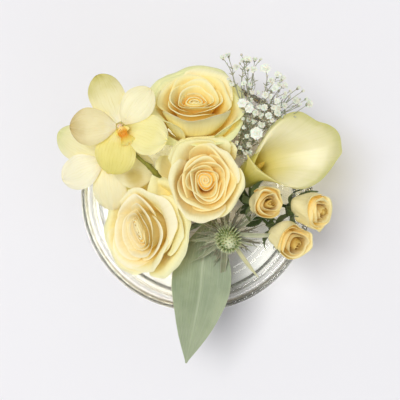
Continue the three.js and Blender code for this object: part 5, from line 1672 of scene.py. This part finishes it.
def floret(q, d, r, rng):
    """A tiny double flower of about a dozen notched petals over a green cup; buds
    stay closed."""
    out = []
    x = unit(np.cross(d, [0.31, 0.2, 0.9]))
    y = np.cross(d, x)
    cup = [[0, -1.15], [0.35, -1.1], [0.62, -0.6], [0.66, -0.1], [0.4, 0.25], [0, 0.3]]
    cup = np.array(cup) * r * 0.8
    m3 = np.array([x, y, d])
    place = lambda P: np.asarray(P) @ m3 + q
    out.append(lathe(cup, 12, place, (0.2, 0.5, rng.random(), 0.2)))
    if r < 1.5:
        bud = np.array([[0, -0.5], [0.5, -0.35], [0.72, 0.15], [0.55, 0.7], [0.2, 1.05], [0, 1.1]]) * r
        out.append(lathe(bud, 12, place, (1.0, 0.5, rng.random(), 0.51), lambda z, a: 1 + 0.08 * np.cos(5 * a + z)))
        return out
    # big florets stay white; the others get a duller tone, partly painted shade (see breath_material)
    tone = 1.0 if r > 3.3 else rng.uniform(0.62, 0.98)
    for ring, (count, reach, tilt) in enumerate(((6, 1.12, 12), (5, 0.95, 38), (4, 0.72, 62))):
        for i in range(count):
            a_ = TAU * (i + 0.37 * ring + 0.25 * rng.random()) / count
            t_ = math.radians(tilt + (rng.uniform(-12, 14) if tone == 1.0 else rng.uniform(-6, 34)))
            u = np.linspace(-1, 1, 6)
            v = np.linspace(0, 1, 6)
            U, V = np.meshgrid(u, v)
            hw = (0.16 + 0.36 * np.sin(math.pi / 2 * V)) * r * (1.05 - 0.1 * ring) * (1.0 if tone == 1.0 else rng.uniform(0.6, 0.95))
            ln = r * reach * (V - 0.10 * (1 - np.abs(U)) * smooth((V - 0.7) / 0.3))
            yy = U * hw
            rr = ln * math.cos(t_)
            zz = ln * math.sin(t_) + 0.16 * r * np.sin(V * 3.0) - 0.1 * r * U * U
            ca, sa = math.cos(a_), math.sin(a_)
            P = np.stack([rr * ca - yy * sa, rr * sa + yy * ca, zz + 0.05 * r], -1)
            out.append(shell(place(P), 0.10, petal_attributes(U, 0.4 + 0.6 * V, rng.random(), tone)))
    return out


GREEN_A = (0.5, 0.5, 0.5, 0.1)
for si, (frm, fork_, heads) in enumerate(SPRIGS):
    rng = np.random.default_rng(700 + si)
    p_from, p_fork = at(*frm), at(*fork_)
    parts = []
    path = curve([p_fork, p_from, *down(p_from, 0.95)], 90)
    parts.append(tube(path, np.interp(np.linspace(0, 1, 90), [0, 0.1, 1], [0.72, 0.95, 0.95]), 12, GREEN_A, stalk_bumps(70 + si, (0.02, 0.14, 0.4, 0.7), 0.05, 0.35)))
    H = []
    for x_, y_, z_, r_ in heads:
        H.append((at(x_, y_, z_), r_ * 1.3 * (1.0 if r_ > 2.8 else rng.uniform(0.86, 1.2) if z_ > 133 else rng.uniform(0.62, 1.08))))
        # most florets have a smaller one beside them
        if r_ < 2.8 and rng.random() < 0.7:
            a_ = rng.uniform(0, TAU)
            H.append((at(x_ + 5.5 * math.cos(a_), y_ + 5.5 * math.sin(a_), z_ - rng.uniform(0.5, 4)), rng.uniform(1.55, 2.3)))

    def grow(frm_, radius, items, lead):
        if len(items) == 1:
            q, r_ = items[0]
            mid = (frm_ + q) / 2 + rng.normal(size=3) * 0.8
            pts = curve([frm_, mid, q - np.array([0, 0, 0.2])], 14)
            d = unit(unit(pts[-1] - pts[-3]) + np.array([0, 0, 0.8]))
            parts.append(tube(pts, np.linspace(radius, 0.20, 14), 6, GREEN_A))
            parts.extend(floret(q, d, r_, rng))
            # a closed bud on a side thread
            if rng.random() < 0.75:
                k_ = int(rng.integers(5, 9))
                e_ = pts[k_] + unit(unit(pts[-1] - pts[0]) + rng.normal(size=3) * 0.55) * rng.uniform(4.0, 6.5)
                parts.append(tube(curve([pts[k_], (pts[k_] + e_) / 2 + rng.normal(size=3) * 0.3, e_], 8), np.linspace(0.26, 0.15, 8), 5, GREEN_A))
                parts.extend(floret(e_, unit(e_ - pts[k_]), rng.uniform(0.85, 1.2), rng))
            return
        mean = sum(q for q, _ in items) / len(items)
        f_ = frm_ * 0.54 + mean * 0.46 - np.array([0, 0, 2.0])
        mid = (frm_ + f_) / 2 + rng.normal(size=3) * 0.5
        parts.append(tube(curve([frm_, mid, f_], 12), np.linspace(radius, radius * 0.82, 12), 8, GREEN_A, lambda t, a: 1 + 0.5 * np.exp(-(((t - 1) / 0.05) ** 2))))
        # the pair of narrow leaves at the joint
        for s_ in (-1, 1):
            d0 = unit(f_ - frm_)
            sd_ = unit(np.cross(d0, [0, 0, 1.0])) * s_
            e_ = f_ + sd_ * 2.6 + d0 * 2.2 + np.array([0, 0, 0.4])
            parts.append(tube(curve([f_, (f_ + e_) / 2 + np.array([0, 0, 0.5]), e_], 7), np.array([0.22, 0.34, 0.38, 0.34, 0.26, 0.16, 0.04]), 6, (0.5, 0.5, 0.3, 0.2)))
        split(f_, radius * 0.82, items)

    def split(f_, radius, items):
        items = sorted(items, key=lambda it: math.atan2(it[0][1] - f_[1], it[0][0] - f_[0]))
        h_ = (len(items) + 1) // 2
        grow(f_, radius, items[:h_], None)
        grow(f_, radius, items[h_:], None)

    split(p_fork, 0.62, H)
    # short bare twigs and dried cream tips, thick near the fork
    for _ in range(9):
        q = at(rng.uniform(229, 260), rng.uniform(118, 157), 0)
        q[2] = rng.uniform(106, 127)
        f0_ = path[int(rng.integers(0, 22))]
        mid_ = (f0_ + q) / 2 + rng.normal(size=3) * 1.5
        pts_ = curve([f0_, mid_, q], 9)
        parts.append(tube(pts_, np.linspace(0.42, 0.22, 9), 6, GREEN_A))
        if rng.random() < 0.6:
            parts.append(tube(curve([q, q + unit(q - mid_) * 1.4, q + unit(q - mid_) * 3.0], 6), np.array([0.3, 0.8, 0.95, 0.8, 0.5, 0.1]), 7, (0.9, 0.5, rng.random(), 0.9)))
    if si < 2:
        shown(f"babys_breath_sprig_{si + 1}", parts, BREATH, [f"babys_breath_{si + 1}"])
    elif si == 2:
        low = parts
    else:
        shown("babys_breath_sprig_3", low + parts, BREATH, ["babys_breath_3"])


# ------------------------------------------------------------------ broad leaf
def leaf_material():
    n = Nodes("broad_leaf")
    along, across, chance, age, face = n.attributes()
    pos = n.position()
    side_ = n.math("ABSOLUTE", n.math("MULTIPLY_ADD", across, 2.0, -1.0))
    cloud = n.noise(pos, 45.0, 3.0, 0.55)
    colour = n.mix(n.range(cloud, 0.3, 0.7), (0.22, 0.28, 0.15), (0.32, 0.38, 0.22))
    # painted shadow: the blade darkens and browns toward its stalk end, where the sea holly shades it; it pales toward
    # the tip
    colour = n.mix(n.math("MULTIPLY", n.range(along, 0.42, 0.05), 0.6), colour, n.mix(1.0, colour, (0.34, 0.32, 0.14), "MULTIPLY"))
    colour = n.mix(n.math("MULTIPLY", n.range(along, 0.45, 0.95), 0.6), colour, (0.46, 0.51, 0.35))
    colour = n.mix(n.math("MULTIPLY", n.range(side_, 0.10, 0.0), 0.55), colour, (0.46, 0.52, 0.34))
    nerve = n.noise(n.vec(n.math("MULTIPLY", across, 60.0), n.math("MULTIPLY", along, 1.5), 0.2), 1.0, 3.0, 0.6)
    colour = n.mix(n.math("MULTIPLY", n.range(nerve, 0.44, 0.66), 0.45), colour, n.mix(1.0, colour, (0.74, 0.80, 0.72), "MULTIPLY"))
    fine = n.noise(n.vec(n.math("MULTIPLY", across, 260.0), n.math("MULTIPLY", along, 5.0), 0.4), 1.0, 2.0, 0.6)
    colour = n.mix(n.math("MULTIPLY", n.range(fine, 0.45, 0.7), 0.22), colour, (0.50, 0.56, 0.42))
    colour = n.mix(n.math("MULTIPLY", face, 0.6), colour, (0.42, 0.47, 0.33))
    colour = n.mix(n.math("MULTIPLY", n.range(side_, 0.965, 1.0), 0.6), colour, (0.52, 0.55, 0.36))
    normal = n.bump(n.math("ADD", n.math("MULTIPLY", nerve, 0.8), n.math("MULTIPLY", fine, 0.5)), 0.0003, 0.6)
    p = n.principled(colour, n.math("MULTIPLY_ADD", cloud, 0.15, 0.36), normal, Specular_IOR_Level=0.4, Coat_Weight=0.08, Coat_Roughness=0.4, Subsurface_Weight=0.12, Subsurface_Scale=0.0006)
    p.inputs["Subsurface Radius"].default_value = (0.7, 1.0, 0.4)
    return n.done(p.outputs[0])


CENTRE = [at(*p) for p in ((214, 214, 95), (208, 238, 98), (203, 265, 100.5), (200.5, 290, 101), (197, 312, 100), (191.5, 338, 96), (186, 363, 89))]
NR, NC = 190, 61
line = curve(CENTRE, NR)
v = np.linspace(0, 1, NR)
WIDE = np.interp(v, [0, 1 / 12, 1 / 6, 1 / 4, 1 / 3, 5 / 12, 1 / 2, 7 / 12, 2 / 3, 3 / 4, 5 / 6, 11 / 12, 0.97, 1], [3.0, 12.5, 23.5, 36.0, 44.0, 46.4, 45.6, 42.0, 36.5, 29.5, 21.0, 11.0, 4.2, 0.7])
ker = np.ones(9) / 9
WIDE = np.convolve(np.pad(WIDE, 4, mode="edge"), ker, mode="valid")
tan = unit(np.gradient(line, axis=0))
across_ = unit(np.stack([tan[:, 1], -tan[:, 0], np.zeros(NR)], -1))
u = np.linspace(-1, 1, NC)
U, V = np.meshgrid(u, v)
W = 0.5 * np.repeat(WIDE[:, None], NC, 1)
w = Waves(np.random.default_rng(12), 6, 2.6)
Y = U * W
Z = -0.16 * W * (1 - np.abs(U)) + 0.02 * W * U * U
Z = Z + 1.1 * w(V * 2.2, np.sign(U) * 1.3) * np.abs(U) ** 2 * smooth(V * 4)
Z = Z + 0.10 * np.cos(Y * TAU / 2.1) * np.minimum(1, W / 8) * smooth(np.abs(U) * 8)
Z = Z + 0.35 * np.exp(-((Y / 0.7) ** 2))
P = line[:, None, :] + across_[:, None, :] * Y[..., None] + np.array([0, 0, 1.0]) * Z[..., None]
th = 0.5 + 0.6 * np.exp(-((Y / 0.9) ** 2)) * (1 - V) - 0.25 * smooth((np.abs(U) - 0.85) / 0.15)
shown("broad_leaf_blade", [shell(P, th, petal_attributes(U, V, 0.5, 0.5))], leaf_material(), ["broad_leaf"])
path = curve([at(214.6, 212, 93.9), at(216, 205, 86), *down(at(216, 205, 86), 1.5)], 80)
shown("broad_leaf_petiole", [tube(path, 1.5 * np.interp(np.linspace(0, 1, 80), [0, 0.1, 1], [0.9, 1, 1.02]), 20, (0.5, 0.5, 0.4, 0.5), lambda t, a: 1 + 0.12 * np.cos(a) + 0.03 * np.cos(6 * a))], STEM, ["broad_leaf_stalk"])


# ------------------------------------------------------------------ bowl and water
SIDES = 192
wall = [[75, 0], [80, 1.6], [83.6, 6], [85.8, 16], [87.6, 36], [89.4, 62], [91, 88.5], [90.2, 91], [88.8, 92], [87.6, 91.4], [86.4, 89.4], [85, 62], [83.2, 36], [81.2, 21], [78, 14.4], [71.5, 10.8], [60, 10]]
fine_wall = curve(wall, 150)
fine_wall[:, 1] = np.maximum(fine_wall[:, 1], 0.0)
prof = np.vstack([[0, 0], [25, 0.0], [50, 0.0], [70, 0.0], fine_wall, [40, 10.0], [20, 10.0], [0, 10.0]])
bw = Waves(np.random.default_rng(2), 6, 2.0)
bowl = lathe(prof, SIDES)
shown("bowl_glass", [bowl], clear("bowl_glass", 1.42, (0.995, 0.995, 0.985), 0.0, (7.0, (0.72, 0.72, 0.62)), 0.00025, 18.0), ["glass_bowl"])
wp = [[60.4, 9.9], [71.6, 10.7], [78.1, 14.2], [81.3, 20.8], [83.3, 35.8], [84.2, 47.0], [84.62, 54.8], [84.75, 57.2], [84.3, 56.7], [83.2, 56.2], [81.0, 56.02], [76.0, 56.0]]
wc = curve(wp, 70)
prof = np.vstack([[0, 9.9], [20, 9.9], [40, 9.9], wc, [60, 56.0], [45, 56.0], [30, 56.0], [15, 56.0], [0, 56.0]])
shown("bowl_water", [lathe(prof, SIDES)], clear("still_water", 1.333, (0.99, 0.995, 0.985), 0.0, (1.5, (0.82, 0.83, 0.66)), 0.00012, 20.0), ["water"])
